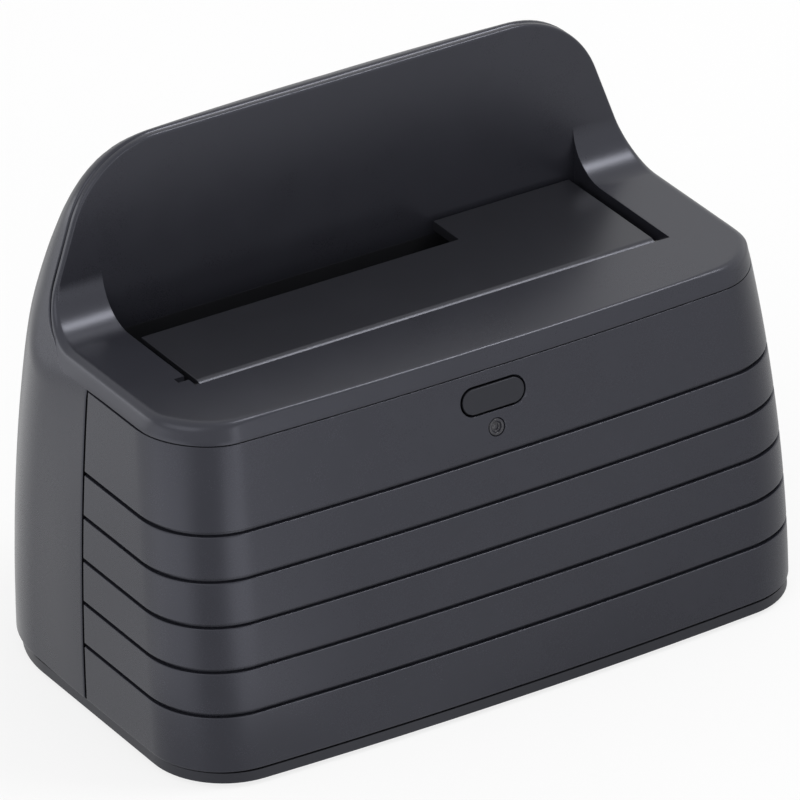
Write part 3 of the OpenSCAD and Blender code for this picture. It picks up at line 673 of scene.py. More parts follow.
        side_in = np.maximum(edge - np.sqrt(np.maximum(edge ** 2 - gone ** 2, 0)), inset)
        side_x = self.half_w - side_in
        x, y = np.hstack([side_x, x]), np.hstack([side_y, y])
        zl = np.hstack([(z - side_x * lean_s) / lean_c, zl])
        wide = x * lean_c - zl * lean_s
        z = np.broadcast_to(z, wide.shape)
        return both_sides(np.stack([wide + self.swell(wide, y, z), y, z], -1))


FORM = BodyForm()


def both_sides(right: Grid) -> Grid:
    """A grid from the left to the right, from its right half that runs from the side to the middle."""
    return np.concatenate([right[:, :-1] * MIRROR, right[:, ::-1]], 1)


# Mesh helpers

@contextmanager
def edited(data: bpy.types.Mesh) -> Iterator[bmesh.types.BMesh]:
    """Opens a mesh for editing and puts it back.

    Args:
        data: the mesh.

    Yields:
        Its editable form.
    """
    work = bmesh.new()
    work.from_mesh(data)
    yield work
    work.to_mesh(data)
    work.free()


class Sheet:
    """Collects grids and polygons, in millimetres, into one mesh."""

    def __init__(self) -> None:
        """Starts empty."""
        self.points: list[tuple[float, float, float]] = []
        self.faces: list[list[int]] = []

    def grid(self, points: Grid, flip: bool = False, closed: bool = False) -> None:
        """Adds a grid of four-sided faces.

        Args:
            points: rows by columns of points.
            flip: turns the faces over.
            closed: joins the last column to the first.
        """
        base = len(self.points)
        rows, cols = points.shape[:2]
        self.points.extend(map(tuple, points.reshape(-1, 3)))
        for r in range(rows - 1):
            near, far = base + r * cols, base + (r + 1) * cols
            for c in range(cols if closed else cols - 1):
                d = (c + 1) % cols
                face = [near + c, near + d, far + d, far + c]
                self.faces.append(face[::-1] if flip else face)

    def polygon(self, points: Iterable[Sequence[float]]) -> None:
        """Adds one flat face.

        Args:
            points: its corners in order.
        """
        base = len(self.points)
        self.points.extend(tuple(p) for p in points)
        self.faces.append(list(range(base, len(self.points))))

    def tube(self, rings: Grid) -> None:
        """Adds a closed body through rings.

        Args:
            rings: rings by points.
        """
        self.grid(rings, closed=True)
        self.polygon(rings[0])
        self.polygon(rings[-1])

    def mesh(self, name: str, weld: float = 0.002) -> bpy.types.Object:
        """Makes the object.

        Args:
            name: its name.
            weld: points nearer than this are joined.

        Returns:
            The object, in metres, with smooth faces turned outwards.
        """
        data = bpy.data.meshes.new(name)
        data.from_pydata([tuple(c * MM for c in p) for p in self.points], [], self.faces)
        with edited(data) as work:
            bmesh.ops.remove_doubles(work, verts=work.verts, dist=weld * MM)
            bmesh.ops.recalc_face_normals(work, faces=work.faces)
            for f in work.faces:
                f.smooth = True
        piece = bpy.data.objects.new(name, data)
        bpy.context.scene.collection.objects.link(piece)
        return piece


def settle(piece: bpy.types.Object) -> None:
    """Applies a piece's modifiers to its mesh.

    Args:
        piece: the piece.
    """
    graph = bpy.context.evaluated_depsgraph_get()
    done = bpy.data.meshes.new_from_object(piece.evaluated_get(graph))
    old = piece.data
    piece.modifiers.clear()
    piece.data = done
    done.name = piece.name
    bpy.data.meshes.remove(old)


def carve(piece: bpy.types.Object, cutters: Iterable[bpy.types.Object]) -> None:
    """Cuts shapes out of a piece.

    Args:
        piece: the piece.
        cutters: the shapes, which are removed.
    """
    for cutter in cutters:
        cut = piece.modifiers.new("cut", "BOOLEAN")
        cut.operation, cut.solver, cut.object = "DIFFERENCE", "EXACT", cutter
        settle(piece)
        bpy.data.objects.remove(cutter)


def weigh(piece: bpy.types.Object, keep_sharp: bool) -> None:
    """Lets large faces shade flat beside their rounded edges.

    Args:
        piece: the piece.
        keep_sharp: leaves edges that are marked sharp.
    """
    normals = piece.modifiers.new("weigh", "WEIGHTED_NORMAL")
    normals.keep_sharp = keep_sharp
    normals.weight = 80


def even_shading(piece: bpy.types.Object, sharp: float = 50.0) -> None:
    """Shades large faces flat and their rounded edges smooth.

    Args:
        piece: a mesh.
        sharp: edges steeper than this many degrees stay sharp.
    """
    piece.data.set_sharp_from_angle(angle=math.radians(sharp))
    for p in piece.data.polygons:
        p.use_smooth = True
    weigh(piece, True)


def paint(piece: bpy.types.Object, finish: bpy.types.Material) -> None:
    """Gives a piece one material."""
    piece.data.materials.clear()
    piece.data.materials.append(finish)


def soften(node: str, width: float, finish: bpy.types.Material, limit: float = 40.0,
           flatness: float = 0.4) -> None:
    """Dresses a CAD node and breaks its edges with modifiers, leaving its own mesh alone.

    Args:
        node: the CAD node.
        width: width of the broken edges.
        finish: its material.
        limit: edges steeper than this many degrees are broken.
        flatness: faces that meet within this many degrees become one.
    """
    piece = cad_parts[node]
    paint(piece, finish)
    if width <= 0:
        return
    weld = piece.modifiers.new("weld", "WELD")
    weld.merge_threshold = 0.001 * MM
    flat = piece.modifiers.new("flat", "DECIMATE")
    flat.decimate_type, flat.angle_limit = "DISSOLVE", math.radians(flatness)
    edge = piece.modifiers.new("edge", "BEVEL")
    edge.width, edge.segments = width * MM, 3
    edge.limit_method, edge.angle_limit = "ANGLE", math.radians(limit)
    weigh(piece, False)


def quarter(radius: float, count: int = 5) -> tuple[Grid, Grid]:
    """A rounded edge: distances from the edge along the face, and depths below the face."""
    a = np.linspace(0, RIGHT_ANGLE, count)
    return radius * (1 - np.cos(a)), radius * (1 - np.sin(a))


# Pieces

@dataclass
class FrontFascia:
    """The grooved front, which wraps round to the side seams."""

    grooves: int = 5
    groove_z: float = 14.7
    pitch: float = 8.7
    groove_w: float = 0.8
    groove_d: float = 0.9
    groove_lip: float = 0.16
    button_l: float = 13.4
    button_h: float = 4.9
    button_gap: float = 0.35
    button_z: float = 60.5
    lens_drop: float = 6.0
    lens_r: float = 1.75
    mouth: tuple[tuple[float, float], ...] = (
        (-2.0, 0.14), (-0.02, 0.14), (0.04, 0.08), (0.14, 0.0), (6.0, 0.0))
    edge: float = 0.35
    top_edge: float = 0.08
    top_gap: float = 0.2
    seam: float = 0.72
    seam_edge: float = 0.15

    def rows(self) -> tuple[Grid, Grid]:
        """Rows of the outside, from the bottom edge to the top edge.

        Returns:
            Their heights, and their depths below the face.
        """
        low, high = FORM.base_top + FORM.seam_gap / 2, FORM.seam_z - self.top_gap
        half, lip = self.groove_w / 2, self.groove_lip
        dip = [(-half - 2.2 * lip, 0.0), (-half - lip, 0.0), (-half - 0.45 * lip, 0.03), (-half, 0.14),
               (-half + 0.02, 0.5), (-half + 0.05, self.groove_d)]
        across, down = np.array(dip + [(-a, d) for a, d in dip[::-1]]).T
        forms = [(self.groove_z + i * self.pitch + across, down, 6) for i in range(self.grooves)]
        along, deep = quarter(self.top_edge)
        forms.append(((high - along)[::-1], deep[::-1], 14))
        along, inset = quarter(self.edge)
        z = low + along
        for form, depths, count in forms:
            plain = np.linspace(z[-1], form[0], count)[1:-1]
            z = np.concatenate([z, plain, form])
            inset = np.concatenate([inset, np.zeros(len(plain)), depths])
        return z, inset

    def build(self) -> bpy.types.Object:
        """Makes the wall, its grooves and its two holes.

        Returns:
            The piece.
        """
        z, inset = self.rows()
        seam = FORM.seam_at(z) - self.seam / 2
        ends = [0, -1]
        outer = FORM.wrap(Half.FRONT, seam, z, inset, self.seam_edge)
        inner = FORM.wrap(Half.FRONT, seam[ends], z[ends], np.full(2, FORM.wall), self.seam_edge)
        sheet = Sheet()
        sheet.grid(outer)
        sheet.grid(inner, flip=True)
        sheet.grid(np.stack([outer[0], inner[0]]), flip=True)
        sheet.grid(np.stack([outer[-1], inner[-1]]))
        for end in ends:
            sheet.polygon(np.concatenate([outer[:, end], inner[::-1, end]]))
        piece = sheet.mesh("fascia_wall")
        clear = 2 * self.button_gap
        carve(piece, [self.cutter("button", self.button_l + clear, self.button_h + clear, 0.0),
                      self.cutter("lens", 2 * self.lens_r, 2 * self.lens_r, -self.lens_drop)])
        even_shading(piece)
        return piece

    def cutter(self, name: str, length: float, height: float, up: float, steps: int = 24) -> bpy.types.Object:
        """A round-ended cutter along the face's normal, with a broken mouth.

        Args:
            name: the hole's name.
            length: size across.
            height: size upwards.
            up: height above the button's middle.
            steps: points of each round end, none of them on the face's middle line.

        Returns:
            The cutter.
        """
        x = (length - height) / 2
        a = math.pi * ((np.arange(steps) + 0.5) / steps - 0.5)
        rings = []
        for depth, grow in self.mouth:
            r = height / 2 + grow
            end = np.stack([x + r * np.cos(a), r * np.sin(a)], 1)
            ring = np.concatenate([end, -end])
            rings.append(np.stack([ring[:, 0], np.full(len(ring), depth), ring[:, 1] + up], 1))
        sheet = Sheet()
        sheet.tube(np.array(rings))
        cutter = sheet.mesh("cut_" + name)
        cutter.data.transform(self.place())
        return cutter

    def place(self) -> Matrix:
        """The frame on the face behind the button.

        Returns:
            A frame whose Y goes in along the normal.
        """
        face = FORM.front
        lean = math.asin((self.button_z - face.axis_z) / face.r)
        y = face.axis_y - face.r * math.cos(lean)
        return Matrix.Translation((0, y * MM, self.button_z * MM)) @ Matrix.Rotation(-lean, 4, "X")


@dataclass
class IndicatorLens:
    """The light pipe below the button: a bright ring round a dished eye."""

    r: float = 1.7
    length: float = 2.6
    steps: int = 40
    profile: tuple[tuple[float, float], ...] = (
        (0.0, 0.3), (0.10, 0.12), (0.22, 0.04), (0.36, 0.02), (0.50, 0.05), (0.60, 0.14), (0.66, 0.30),
        (0.72, 0.52), (0.86, 0.64), (1.04, 0.62), (1.26, 0.52), (1.50, 0.46), (1.66, 0.45))

    def build(self) -> bpy.types.Object:
        """Turns the pipe about the fascia's normal.

        Returns:
            The piece.
        """
        a = np.linspace(0, 2 * math.pi, self.steps, endpoint=False)
        path = [(0.0, self.length), *self.profile]
        rings = [np.stack([(self.r - inset) * np.cos(a), np.full_like(a, depth),
                           (self.r - inset) * np.sin(a)], 1) for inset, depth in path]
        sheet = Sheet()
        sheet.tube(np.array(rings))
        piece = sheet.mesh("indicator_pipe")
        fascia = FrontFascia()
        piece.data.transform(fascia.place() @ Matrix.Translation((0, 0, -fascia.lens_drop * MM)))
        even_shading(piece)
        return piece


@dataclass
class RearShell:
    """The back, from the side seams over the dome to the fin's top edge."""

    edge: float = 0.35
    seam: float = 0.72
    thickness: float = 1.3
    usb: tuple[float, float, float] = (-16.0, 12.6, 11.2)
    jack: tuple[float, float, float] = (16.0, 9.6, 11.6)
    port_z: float = 9.3
    port_y: tuple[float, float] = (30.0, 50.0)
    columns: int = 64
    levels: int = 76
    first: float = 0.008
    run_u: float = 100.0
    run_v: float = 110.0
    hub_drop: float = 12.0
    roll_over: float = 0.9
    seam_rise: float = 6.0
    side_share: float = 0.4

    def bottom(self) -> Grid:
        """The right half of the bottom edge.

        Returns:
            Points from the seam to the middle.
        """
        z = np.array([FORM.base_top + FORM.seam_gap / 2])
        row = FORM.wrap(Half.REAR, FORM.seam_at(z) + self.seam / 2, z, np.zeros(1), SHARP_EDGE)[0]
        return row[len(row) // 2:][::-1]

    def top(self) -> Grid:
        """The right half of the edge against the cover.

        Returns:
            Points from the seam to the middle of the fin.
        """
        gap = FORM.seam_gap
        cy, cz = FORM.shoulder
        side = FORM.flank(np.linspace(FORM.seam_at(FORM.seam_z) + self.seam / 2, cy, 24), FORM.seam_z)
        a = np.linspace(0, RIGHT_ANGLE - FORM.fin_draft, 40)[1:]
        grown = FORM.shoulder_r + FORM.lip(a) + gap * ease_in(a, 0.3, 0.9)
        arc = FORM.flank(cy + grown * np.sin(a), cz - grown * np.cos(a))
        x, z = FORM.fin_arc(60)
        x, z = np.append(x, 0.0), np.append(z, FORM.top_z)
        return np.concatenate([side, arc, np.stack([x, FORM.fin_face(z, FORM.fin_sheet + gap), z], 1)])

    @staticmethod
    def spaced(path: Grid, at: Grid) -> Grid:
        """Points at given shares of a path's length."""
        run = np.concatenate([[0], np.cumsum(np.linalg.norm(np.diff(path, axis=0), axis=1))])
        return np.stack([np.interp(at * run[-1], run, path[:, k]) for k in range(3)], 1)

    def skin(self) -> Grid:
        """Grid of the outside.

        Returns:
            Points from the bottom edge to the top edge, each row from the left seam to the right one.
        """
        along, deep = quarter(self.edge, 4)
        u = np.concatenate([along / self.run_u, np.linspace(self.first, 1, self.columns)])
        v = np.concatenate([along / self.run_v, np.linspace(self.first, 1 - self.first, self.levels),
                            1 - along[::-1] / self.run_v])
        low, high = self.spaced(self.bottom(), u), self.spaced(self.top(), u)
        flat = np.gradient(low, axis=0)
        low_way = np.stack([flat[:, 1], -flat[:, 0], np.zeros(len(u))], 1)
        low_way = unit(low_way * np.sign(np.sum(low_way * (low - [0, 0, FORM.base_top]), 1))[:, None])
        rise = np.clip((high[:, 2] - FORM.seam_z) / (FORM.top_z - FORM.seam_z), 0, 1)[:, None]
        cx, cz = FORM.fin_corner
        hub = np.stack([np.minimum(high[:, 0], cx), high[:, 1], np.full(len(u), cz - self.hub_drop)], 1)
        high_way = high - hub
        high_way[:, 2] *= rise[:, 0]
        high_way = unit(unit(high_way) + np.array([0.0, self.roll_over, 0.0]) * rise)
        ease = ease_in(v, 0, 1)[:, None, None]
        v = v[:, None, None]
        start = low[None] * (1 - v) + high[None] * v
        way = unit(low_way[None] * (1 - ease) + high_way[None] * ease)
        open_seam = np.clip(rise[:, 0] * self.seam_rise, 0, 1)[None]
        plain = np.zeros(self.levels + len(deep))
        side_deep = np.concatenate([deep * self.side_share, np.zeros(self.columns)])[None]
        low_deep = np.concatenate([deep, plain])[:, None]
        inset = np.maximum(np.maximum(side_deep, low_deep), low_deep[::-1] * open_seam)
        half = FORM.reach(start, way, inset)
        half[:, -1, 0] = 0.0
        return both_sides(half)

    def build(self) -> bpy.types.Object:
        """Makes the shell and cuts its two port mouths.

        Returns:
            The piece.
        """
        sheet = Sheet()
        sheet.grid(self.skin(), flip=True)
        piece = sheet.mesh("rear_wall", 0.0005)
        thick = piece.modifiers.new("thick", "SOLIDIFY")
        thick.thickness, thick.offset = self.thickness * MM, -1
        settle(piece)
        carve(piece, [self.mouth(*self.usb), self.mouth(*self.jack)])
        even_shading(piece)
        return piece

    def mouth(self, x: float, width: float, height: float, r: float = 0.8) -> bpy.types.Object:
        """A round-cornered cutter for a port.

        Args:
            x: its middle.
            width: size across.
            height: size upwards.
            r: corner radius.

        Returns:
            The cutter.
        """
        middle = self.port_z + height / 2
        ring = []
        for k, (sx, sz) in enumerate(((1, 1), (-1, 1), (-1, -1), (1, -1))):
            for a in np.linspace(0, RIGHT_ANGLE, 7) + k * RIGHT_ANGLE:
                ring.append((x + sx * (width / 2 - r) + r * math.cos(a),
                             middle + sz * (height / 2 - r) + r * math.sin(a)))
        sheet = Sheet()
        sheet.tube(np.array([[(px, y, pz) for px, pz in ring] for y in self.port_y]))
        return sheet.mesh("cut_port")


@dataclass
class TopCover:
    """The lid: deck, shoulders, the fin's front sheet and the rim that runs round them all."""

    front_r: float = 0.7
    side_r: float = 1.9
    fin_r: float = 0.55
    swap_x: tuple[float, float] = (44.0, 62.0)
    land: float = 0.5
    ledge: float = 1.6
    lip_h: float = 0.25
    seam_in: float = 0.18
    front_share: float = 0.6
    slot_edge: float = 0.35
    slot_low: float = 65.4
    draft: float = 0.12
    notch: tuple[float, float, float] = (-11.0, 0.8, 2.25)
    notch_floor: float = 0.6
    arc_steps: int = 14

    def edge(self) -> tuple[Grid, Grid, Grid, Grid]:
        """The right half of the sharp edge between the top and the outside, front middle to fin middle.

        Returns:
            Points, the top's normals, radii of the rounded edge, and depths down to the cover's lower edge.
        """
        deck = FORM.deck_z
        (cy, cz), r = FORM.shoulder, FORM.shoulder_r
        row = FORM.wrap(Half.FRONT, FORM.seam_at(deck), np.array([deck]), np.zeros(1), SHARP_EDGE)[0]
        row = row[len(row) // 2:-5]
        plan = np.gradient(row, axis=0)
        way = unit(np.stack([plan[:, 1], -plan[:, 0], np.zeros(len(row))], 1))
        front = FORM.reach(row - STEP_IN * way, way)
        front[0, 0] = 0.0
        side = FORM.flank(np.linspace(front[-1, 1], cy, 14)[1:], deck)
        stand = RIGHT_ANGLE - FORM.fin_draft
        a = np.linspace(0, stand, self.arc_steps + 1)[1:]
        arc = FORM.flank(cy + r * np.sin(a), cz - r * np.cos(a))
        x, z = FORM.fin_arc(26)
        stem = np.linspace(arc[-1, 2], z[0], 8)[1:-1]
        rise = FORM.flank(FORM.fin_face(stem), stem)
        x = np.concatenate([x, np.linspace(FORM.fin_corner[0], 0, 18)[1:]])
        z = np.concatenate([z, np.full(17, FORM.top_z)])
        top = np.stack([x, FORM.fin_face(z), z], 1)
        level, upright = len(front) + len(side), len(rise) + len(top)
        lie = np.concatenate([np.zeros(level), a, np.full(upright, stand)])
        up = np.stack([np.zeros_like(lie), -np.sin(lie), np.cos(lie)], 1)
        round_front = np.interp(front[:, 0], self.swap_x, [self.front_r, self.side_r])
        round_arc = np.interp(a, [0.3, stand], [self.side_r, self.fin_r])
        radius = np.concatenate([round_front, np.full(len(side), self.side_r), round_arc,
                                 np.full(upright, self.fin_r)])
        return np.concatenate([front, side, arc, rise, top]), up, radius, FORM.lip(lie)

    def rim(self) -> tuple[Grid, Grid]:
        """The rim's right half, from the cover's lower edge up and over to the flat land.

        Returns:
            Rows of points, and the top's normals.
        """
        e, up, radius, depth = self.edge()
        radius, depth = radius[:, None], depth[:, None]
        out = FORM.normal(e)
        dot = np.sum(out * up, 1, keepdims=True)
        down = unit(dot * out - up)
        flat = unit(out - dot * up)
        bend = np.arccos(np.clip(dot, -1, 1))
        run = radius * np.tan(bend / 2)
        centre = e - radius * (out + up) / (1 + dot)
        foot, lip = (FORM.reach(e - up * (depth - above) - STEP_IN * flat, flat)
                     for above in (0.0, self.lip_h))
        begin = e + down * run
        open_seam = np.interp(e[:, 2], [FORM.deck_z + 1, FORM.deck_z + 5], [0, 1])[:, None]
        open_seam = np.where(e[:, 1:2] < FORM.seam_at(FORM.deck_z), self.front_share, open_seam)
        rows = [foot - self.seam_in * out * open_seam, lip]
        for k in np.linspace(0, 1, 5)[1:-1]:
            rows.append(FORM.reach(lip + (begin - lip) * k - 2 * flat, flat))
        for k in np.linspace(0, 1, 8):
            n = (np.sin((1 - k) * bend) * out + np.sin(k * bend) * up) / np.sin(bend)
            rows.append(centre + radius * n)
        rows.append(e - flat * (run + self.land))
        rows = np.array(rows)
        facing = np.clip(-1.3 * out[:, 1:2] - 0.2, 0, 1)
        rows -= self.draft * np.clip(rows[..., 2:] - lip[:, 2:], 0, None) * facing * flat
        rows = np.concatenate([(rows[0] - self.ledge * flat)[None], rows])
        rows[:, [0, -1], 0] = 0.0
        return rows, up

    def build(self) -> bpy.types.Object:
        """Makes the rim, deck, shoulders, fin sheet and the slot's walls.

        Returns:
            The piece.
        """
        rows, up = self.rim()
        sheet = Sheet()
        sheet.grid(np.concatenate([rows, (rows * MIRROR)[:, ::-1][:, 1:-1]], 1), closed=True)
        inner = rows[-1]
        level = np.where(up[:, 2] > 1 - 1e-6)[0]
        wall = np.where(up[:, 1] < up[-1, 1] + 1e-6)[0]
        bent = np.arange(level[-1], wall[0] + 1)
        sh, sf, low, deck, fy = FORM.slot_half, FORM.slot_front, self.slot_low, FORM.deck_z, FORM.fin_y
        cy, cz = FORM.shoulder
        foot_z = cz - FORM.shoulder_r * math.sin(FORM.fin_draft)
        profile = np.array([[sh, inner[i, 1], inner[i, 2]] for i in bent])
        profile[0] = [sh, cy, deck]
        profile[-1] = [sh, FORM.fin_face(foot_z), foot_z]
        ny, nr, nl = self.notch
        notch = ((-sh, ny - nr), (-sh - nl, ny - nr), (-sh - nl, ny + nr), (-sh, ny + nr))
        upper, lower = ([[x, y, z] for x, y in notch] for z in (deck, low + self.notch_floor))
        slot = [[-sh, cy, deck], *upper[::-1], [-sh, sf, deck], [sh, sf, deck], [sh, cy, deck]]
        right = inner[level]
        sheet.polygon(np.concatenate([slot, right[::-1], right[1:] * MIRROR]))
        for side in (1, -1):
            s = np.array([side, 1.0, 1.0])
            sheet.grid(np.stack([inner[bent] * s, profile * s]))
            ends = [[side * sh, y, z] for y, z in ((fy, deck), (fy, low), (sf, low), (sf, deck))]
            if side < 0:
                ends += [upper[0], lower[0], lower[3], upper[3]]
            sheet.polygon(np.concatenate([profile * s, ends]))
        for y in (sf, fy):
            sheet.polygon([[-sh, y, deck], [sh, y, deck], [sh, y, low], [-sh, y, low]])
        for i in range(3):
            sheet.polygon([upper[i], upper[i + 1], lower[i + 1], lower[i]])
        sheet.polygon(lower)
        face = inner[wall]
        heel = [profile[-1] * MIRROR, [-sh, fy, deck], [sh, fy, deck], profile[-1]]
        sheet.polygon(np.concatenate([face, face[::-1][1:] * MIRROR, heel]))
        piece = sheet.mesh("cover_lid", 0.004)
        self.close(piece)
        self.break_slot(piece)
        even_shading(piece, 40.0)
        return piece

    @staticmethod
    def close(piece: bpy.types.Object) -> None:
        """Fills the underside between the lid's lower edge and the slot's.

        Args:
            piece: the lid.
        """
        with edited(piece.data) as work:
            rim = [e for e in work.edges if e.is_boundary]
            bmesh.ops.triangle_fill(work, edges=rim, use_beauty=True, normal=(0, -1, 1))
            bmesh.ops.recalc_face_normals(work, faces=work.faces)

    def break_slot(self, piece: bpy.types.Object) -> None:
        """Rounds the slot's upper edges.

        Args:
            piece: the lid.
        """
        sh, sf, deck = FORM.slot_half * MM, FORM.slot_front * MM, FORM.deck_z * MM
        tiny, stop = 2e-6, (FORM.fin_y - 0.4) * MM

        def on_side(p: Vector) -> bool:
            """Whether a point lies on a side edge."""
            return abs(abs(p.x) - sh) < tiny and p.z > deck - tiny and p.y < stop

        def on_front(p: Vector) -> bool:
            """Whether a point lies on the front edge."""
            return abs(p.y - sf) < tiny and abs(p.z - deck) < tiny

        with edited(piece.data) as work:
            chosen = [e for e in work.edges if len(e.link_faces) == 2
                      and any(all(on(v.co) for v in e.verts) for on in (on_side, on_front))]
            bmesh.ops.bevel(work, geom=chosen, offset=self.slot_edge * MM, offset_type="OFFSET", segments=3,
                            profile=0.5, affect="EDGES", clamp_overlap=True)


# Studio

@dataclass(frozen=True)
class SoftBox:
    """A lamp: its place, the point it faces, its width and height, and its power."""

    name: str
    place: tuple[float, float, float]
    aim: tuple[float, float, float]
    size: tuple[float, float]
    watts: float

    def light(self) -> None:
        """Adds the lamp to the scene."""
        data = bpy.data.lights.new(self.name, "AREA")
        data.shape = "RECTANGLE"
        data.size, data.size_y = (side * MM for side in self.size)
        data.energy = self.watts
        place = Vector(self.place)
        hang(data, place, (Vector(self.aim) - place).normalized())


@dataclass(frozen=True)
class PaintedBand:
    """Bearings, in degrees, between which the table's reflection is painted lighter or darker by a level."""

    rise: tuple[float, float]
    fall: tuple[float, float]
    level: float

    def over(self, s: Shader, turn: Value) -> Value:
        """The level within the band, eased in and out."""
        return (s.ease(turn, *self.rise) - s.ease(turn, *self.fall)) * self.level


LAMPS = (SoftBox("key", (620, -270, 1180), (0, 0, 70), (330, 330), 4.9),
         SoftBox("fill", (-1100, -500, 900), (0, 0, 50), (900, 900), 3.0),
         SoftBox("rim", (-780, 840, 130), (0, 0, 50), (640, 300), 1.2),
         SoftBox("strip", (250, -1210, 230), (0, -20, 50), (100, 420), 0.7))
# Painted light and shade in the table's reflection: painted light ahead and to the left, painted shade on the
# camera side.
PAINTED_LIGHT_AHEAD = PaintedBand((-20, -6), (8, 26), 0.38)
PAINTED_LIGHT_LEFT = PaintedBand((-128, -96), (-72, -46), 0.27)
PAINTED_SHADE_CAMERA_SIDE = PaintedBand((-56, -44), (-30, -18), 0.06)


def hang(data: bpy.types.ID, place: Vector, way: Vector) -> bpy.types.Object:
    """Puts a lamp or camera in the scene.

    Args:
        data: the lamp or camera.
        place: where it hangs.
        way: the direction it faces.

    Returns:
        Its object.
    """
    thing = bpy.data.objects.new(data.name, data)
    thing.location = place * MM
    thing.rotation_mode = "QUATERNION"
    thing.rotation_quaternion = way.to_track_quat("-Z", "Y")
    bpy.context.scene.collection.objects.link(thing)
    return thing


@dataclass
class Studio:
    """Camera, lamps, floor and surround."""

    azimuth: float = 33.0573
    elevation: float = 29.0957
    distance: float = 1871.6
    lens: float = 458.9
    sensor: float = 36.0
    aim: tuple[float, float, float] = (-6.98, -12.9, 52.28)
    corner: tuple[float, float] = (-45.0, -19.0)
    table: float = 4000.0
    ambient: float = 0.72
    # Base grey and full scale of the table's painted reflection.
    base_level: float = 0.305
    full_level: float = 3.0

    def camera(self) -> None:
        """Sets the camera at the photograph's angle."""
        a, e = math.radians(self.azimuth), math.radians(self.elevation)
        back = Vector((-math.sin(a) * math.cos(e), -math.cos(a) * math.cos(e), math.sin(e)))
        data = bpy.data.cameras.new("camera")
        data.lens, data.sensor_width = self.lens, self.sensor
        data.clip_start, data.clip_end = 0.1, 20.0
        bpy.context.scene.camera = hang(data, Vector(self.aim) + back * self.distance, -back)

    def surround(self) -> None:
        """White to the eye and in reflections, dimmer as a light."""
        world = bpy.data.worlds.new("surround")
        bpy.context.scene.world = world
        world.use_nodes = True
        n = Nodes(world.node_tree)
        eye, glossy, through = n.rays("Is Camera Ray", "Is Glossy Ray", "Is Transmission Ray")
        dim, white = (n.add("ShaderNodeBackground", None, {"Color": WHITE, "Strength": level})
                      for level in (self.ambient, 1.0))
        n.put(n.tree.nodes["World Output"].inputs["Surface"], n.choose(eye | glossy | through, dim, white))

    def painted_reflections(self, s: Shader) -> Value:
        """Painted reflection of the table for the moulding: painted light ahead and to the left, painted
        shade on the camera side and to the right.

        Args:
            s: the table's shader.

        Returns:
            A grey that changes with the bearing from the body's near corner.
        """
        corner = [c * MM for c in self.corner]
        right, ahead = (s.add("ShaderNodeSeparateXYZ", None, {"Vector": s.place()}, axis) for axis in "XY")
        bearing = s.add("ShaderNodeMath", {"operation": "ARCTAN2"},
                        {0: right - corner[0], 1: corner[1] - ahead})
        turn = bearing * (180 / math.pi)
        far = s.add("ShaderNodeVectorMath", {"operation": "DISTANCE"},
                    {0: s.place(), 1: (*corner, 0)}, "Value")
        clear = s.ease(far, 38 * MM, 76 * MM)
        high = s.ease(far, 100 * MM, 165 * MM)
        # Painted light ahead and to the left, fading out near the body; painted light far out to the left
        # side; painted shade on the camera side and to the right.
        bright = (PAINTED_LIGHT_AHEAD.over(s, turn) + PAINTED_LIGHT_LEFT.over(s, turn)) * clear * (high * 0.45 + 1)
        side = (1 - s.ease(turn, -122, -102)) * high * 0.09
        painted_shade_right = s.ease(turn, 42, 70) * 0.11
        level = bright + side - PAINTED_SHADE_CAMERA_SIDE.over(s, turn) - painted_shade_right + self.base_level
        return s.blend(level, (0, 0, 0, 1), (*[self.full_level] * 3, 1))

    def floor(self) -> None:
        """A plain white table that keeps a soft shadow; in reflections it shows a painted grey with bands of
        painted light and shade.
        """
        sheet = Sheet()
        sheet.polygon([(x * self.table, y * self.table, 0) for x, y in ((-1, -1), (1, -1), (1, 1), (-1, 1))])
        floor = sheet.mesh("table")
        s = Shader("white_table")
        s.surface(Base_Color=s.blend(s.noise(40.0), (0.93, 0.93, 0.93, 1), (0.96, 0.96, 0.96, 1)),
                  Roughness=0.9)
        eye, glossy = s.rays("Is Camera Ray", "Is Glossy Ray")
        painted_reflection, glow = (s.add("ShaderNodeEmission", None, {"Color": colour, "Strength": 1.0})
                        for colour in (self.painted_reflections(s), WHITE))
        # Glossy rays see the table three parts painted reflection to one part lit surface.
        lit_and_painted = s.choose(glossy * 0.75, Value(s, s.principled.outputs[0]), painted_reflection)
        s.put(s.tree.nodes["Material Output"].inputs["Surface"], s.choose(eye * 0.8, lit_and_painted, glow))
        paint(floor, s.material)

    def build(self) -> None:
        """Sets the whole studio up."""
        self.camera()
        self.surround()
        self.floor()
        for lamp in LAMPS:
            lamp.light()
        bpy.context.scene.view_settings.view_transform = "Standard"


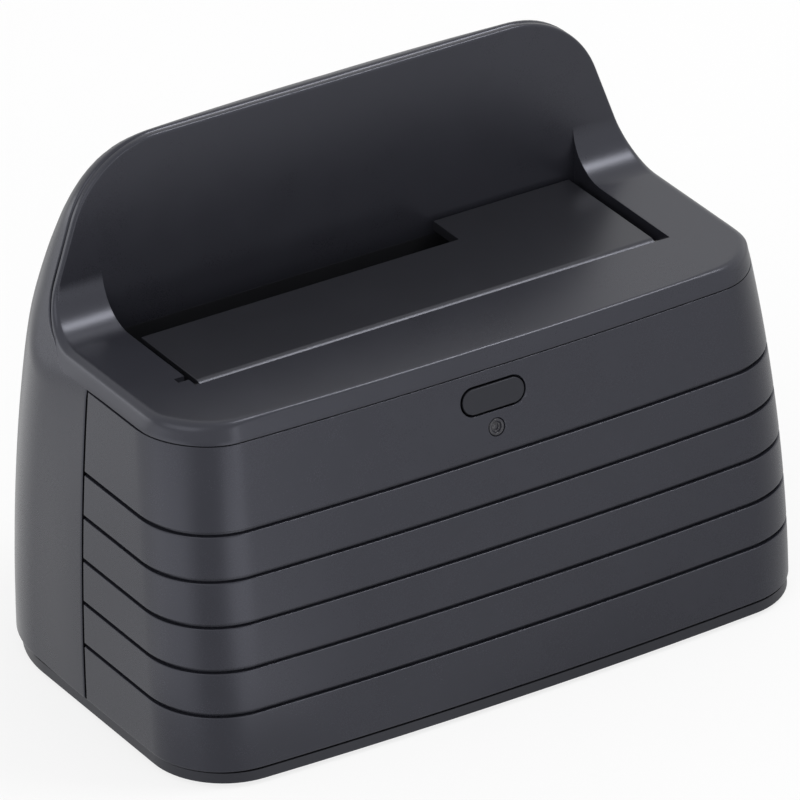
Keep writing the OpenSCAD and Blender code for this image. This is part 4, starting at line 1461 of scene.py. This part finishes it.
@dataclass
class Dock:
    """All the pieces of the part."""

    finishes: dict[str, bpy.types.Material] = field(default_factory=dict)

    def finish(self, kind: Dressing) -> bpy.types.Material:
        """A finish's material, made once.

        Args:
            kind: the finish.

        Returns:
            The material.
        """
        if kind.name not in self.finishes:
            self.finishes[kind.name] = kind.material()
        return self.finishes[kind.name]

    def shells(self) -> None:
        """The moulded shells that show."""
        made = (
            (FrontFascia().build(), "front_fascia", CHARCOAL, "shell_plastic"),
            (RearShell().build(), "rear_shell", CHARCOAL, "shell_plastic"),
            (TopCover().build(), "top_cover", COVER, "cover_plastic"),
            (IndicatorLens().build(), "indicator_lens", SMOKED, "lens_plastic"),
        )
        for piece, node, kind, slot in made:
            paint(piece, self.finish(kind))
            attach(piece, Rides.DOCK.value)
            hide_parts(node)
            log.info("%s stands for %s", piece.name, node)

    def fittings(self) -> None:
        """The CAD nodes that keep their own shape, with the width of their broken edges."""
        plan: tuple[tuple[str, float, Dressing], ...] = (
            ("base_plate", 0.0, BASE), ("drive_well", 0.3, WELL), ("flap_door", 0.42, FLAP),
            ("power_button", 0.3, KEY), ("flap_hinge_pin", 0.1, STEEL), ("flap_spring", 0.0, STEEL),
            ("well_screws", 0.12, STEEL), ("base_screws", 0.12, STEEL), ("board_screws", 0.12, STEEL),
            ("switch_board_screws", 0.12, STEEL), ("rubber_feet", 0.3, RUBBER),
            ("switch_plunger", 0.1, BLACK), ("switch_body", 0.15, BLACK), ("switch_board", 0.05, BOARD),
            ("indicator_led", 0.2, CLEAR), ("ribbon_cable", 0.05, RIBBON), ("cable_headers", 0.15, CREAM),
            ("main_board", 0.05, BOARD), ("sata_socket", 0.2, BLACK), ("sata_contacts", 0.05, GILT),
            ("usb_shell", 0.1, STEEL), ("usb_tongue", 0.15, BLUE), ("power_jack", 0.25, BLACK),
            ("power_jack_pin", 0.2, STEEL), ("bridge_chip", 0.1, BLACK), ("capacitors", 0.3, CAN),
            ("inductor", 0.3, FERRITE), ("crystal", 0.15, STEEL),
        )
        for node, width, kind in plan:
            soften(node, width, self.finish(kind))
            log.info("%s is dressed in %s", node, kind.name)


def main() -> None:
    """Builds the studio and the part."""
    logging.basicConfig(level=logging.INFO, format="%(message)s")
    Studio().build()
    dock = Dock()
    dock.shells()
    dock.fittings()


if __name__ == "__main__":
    main()
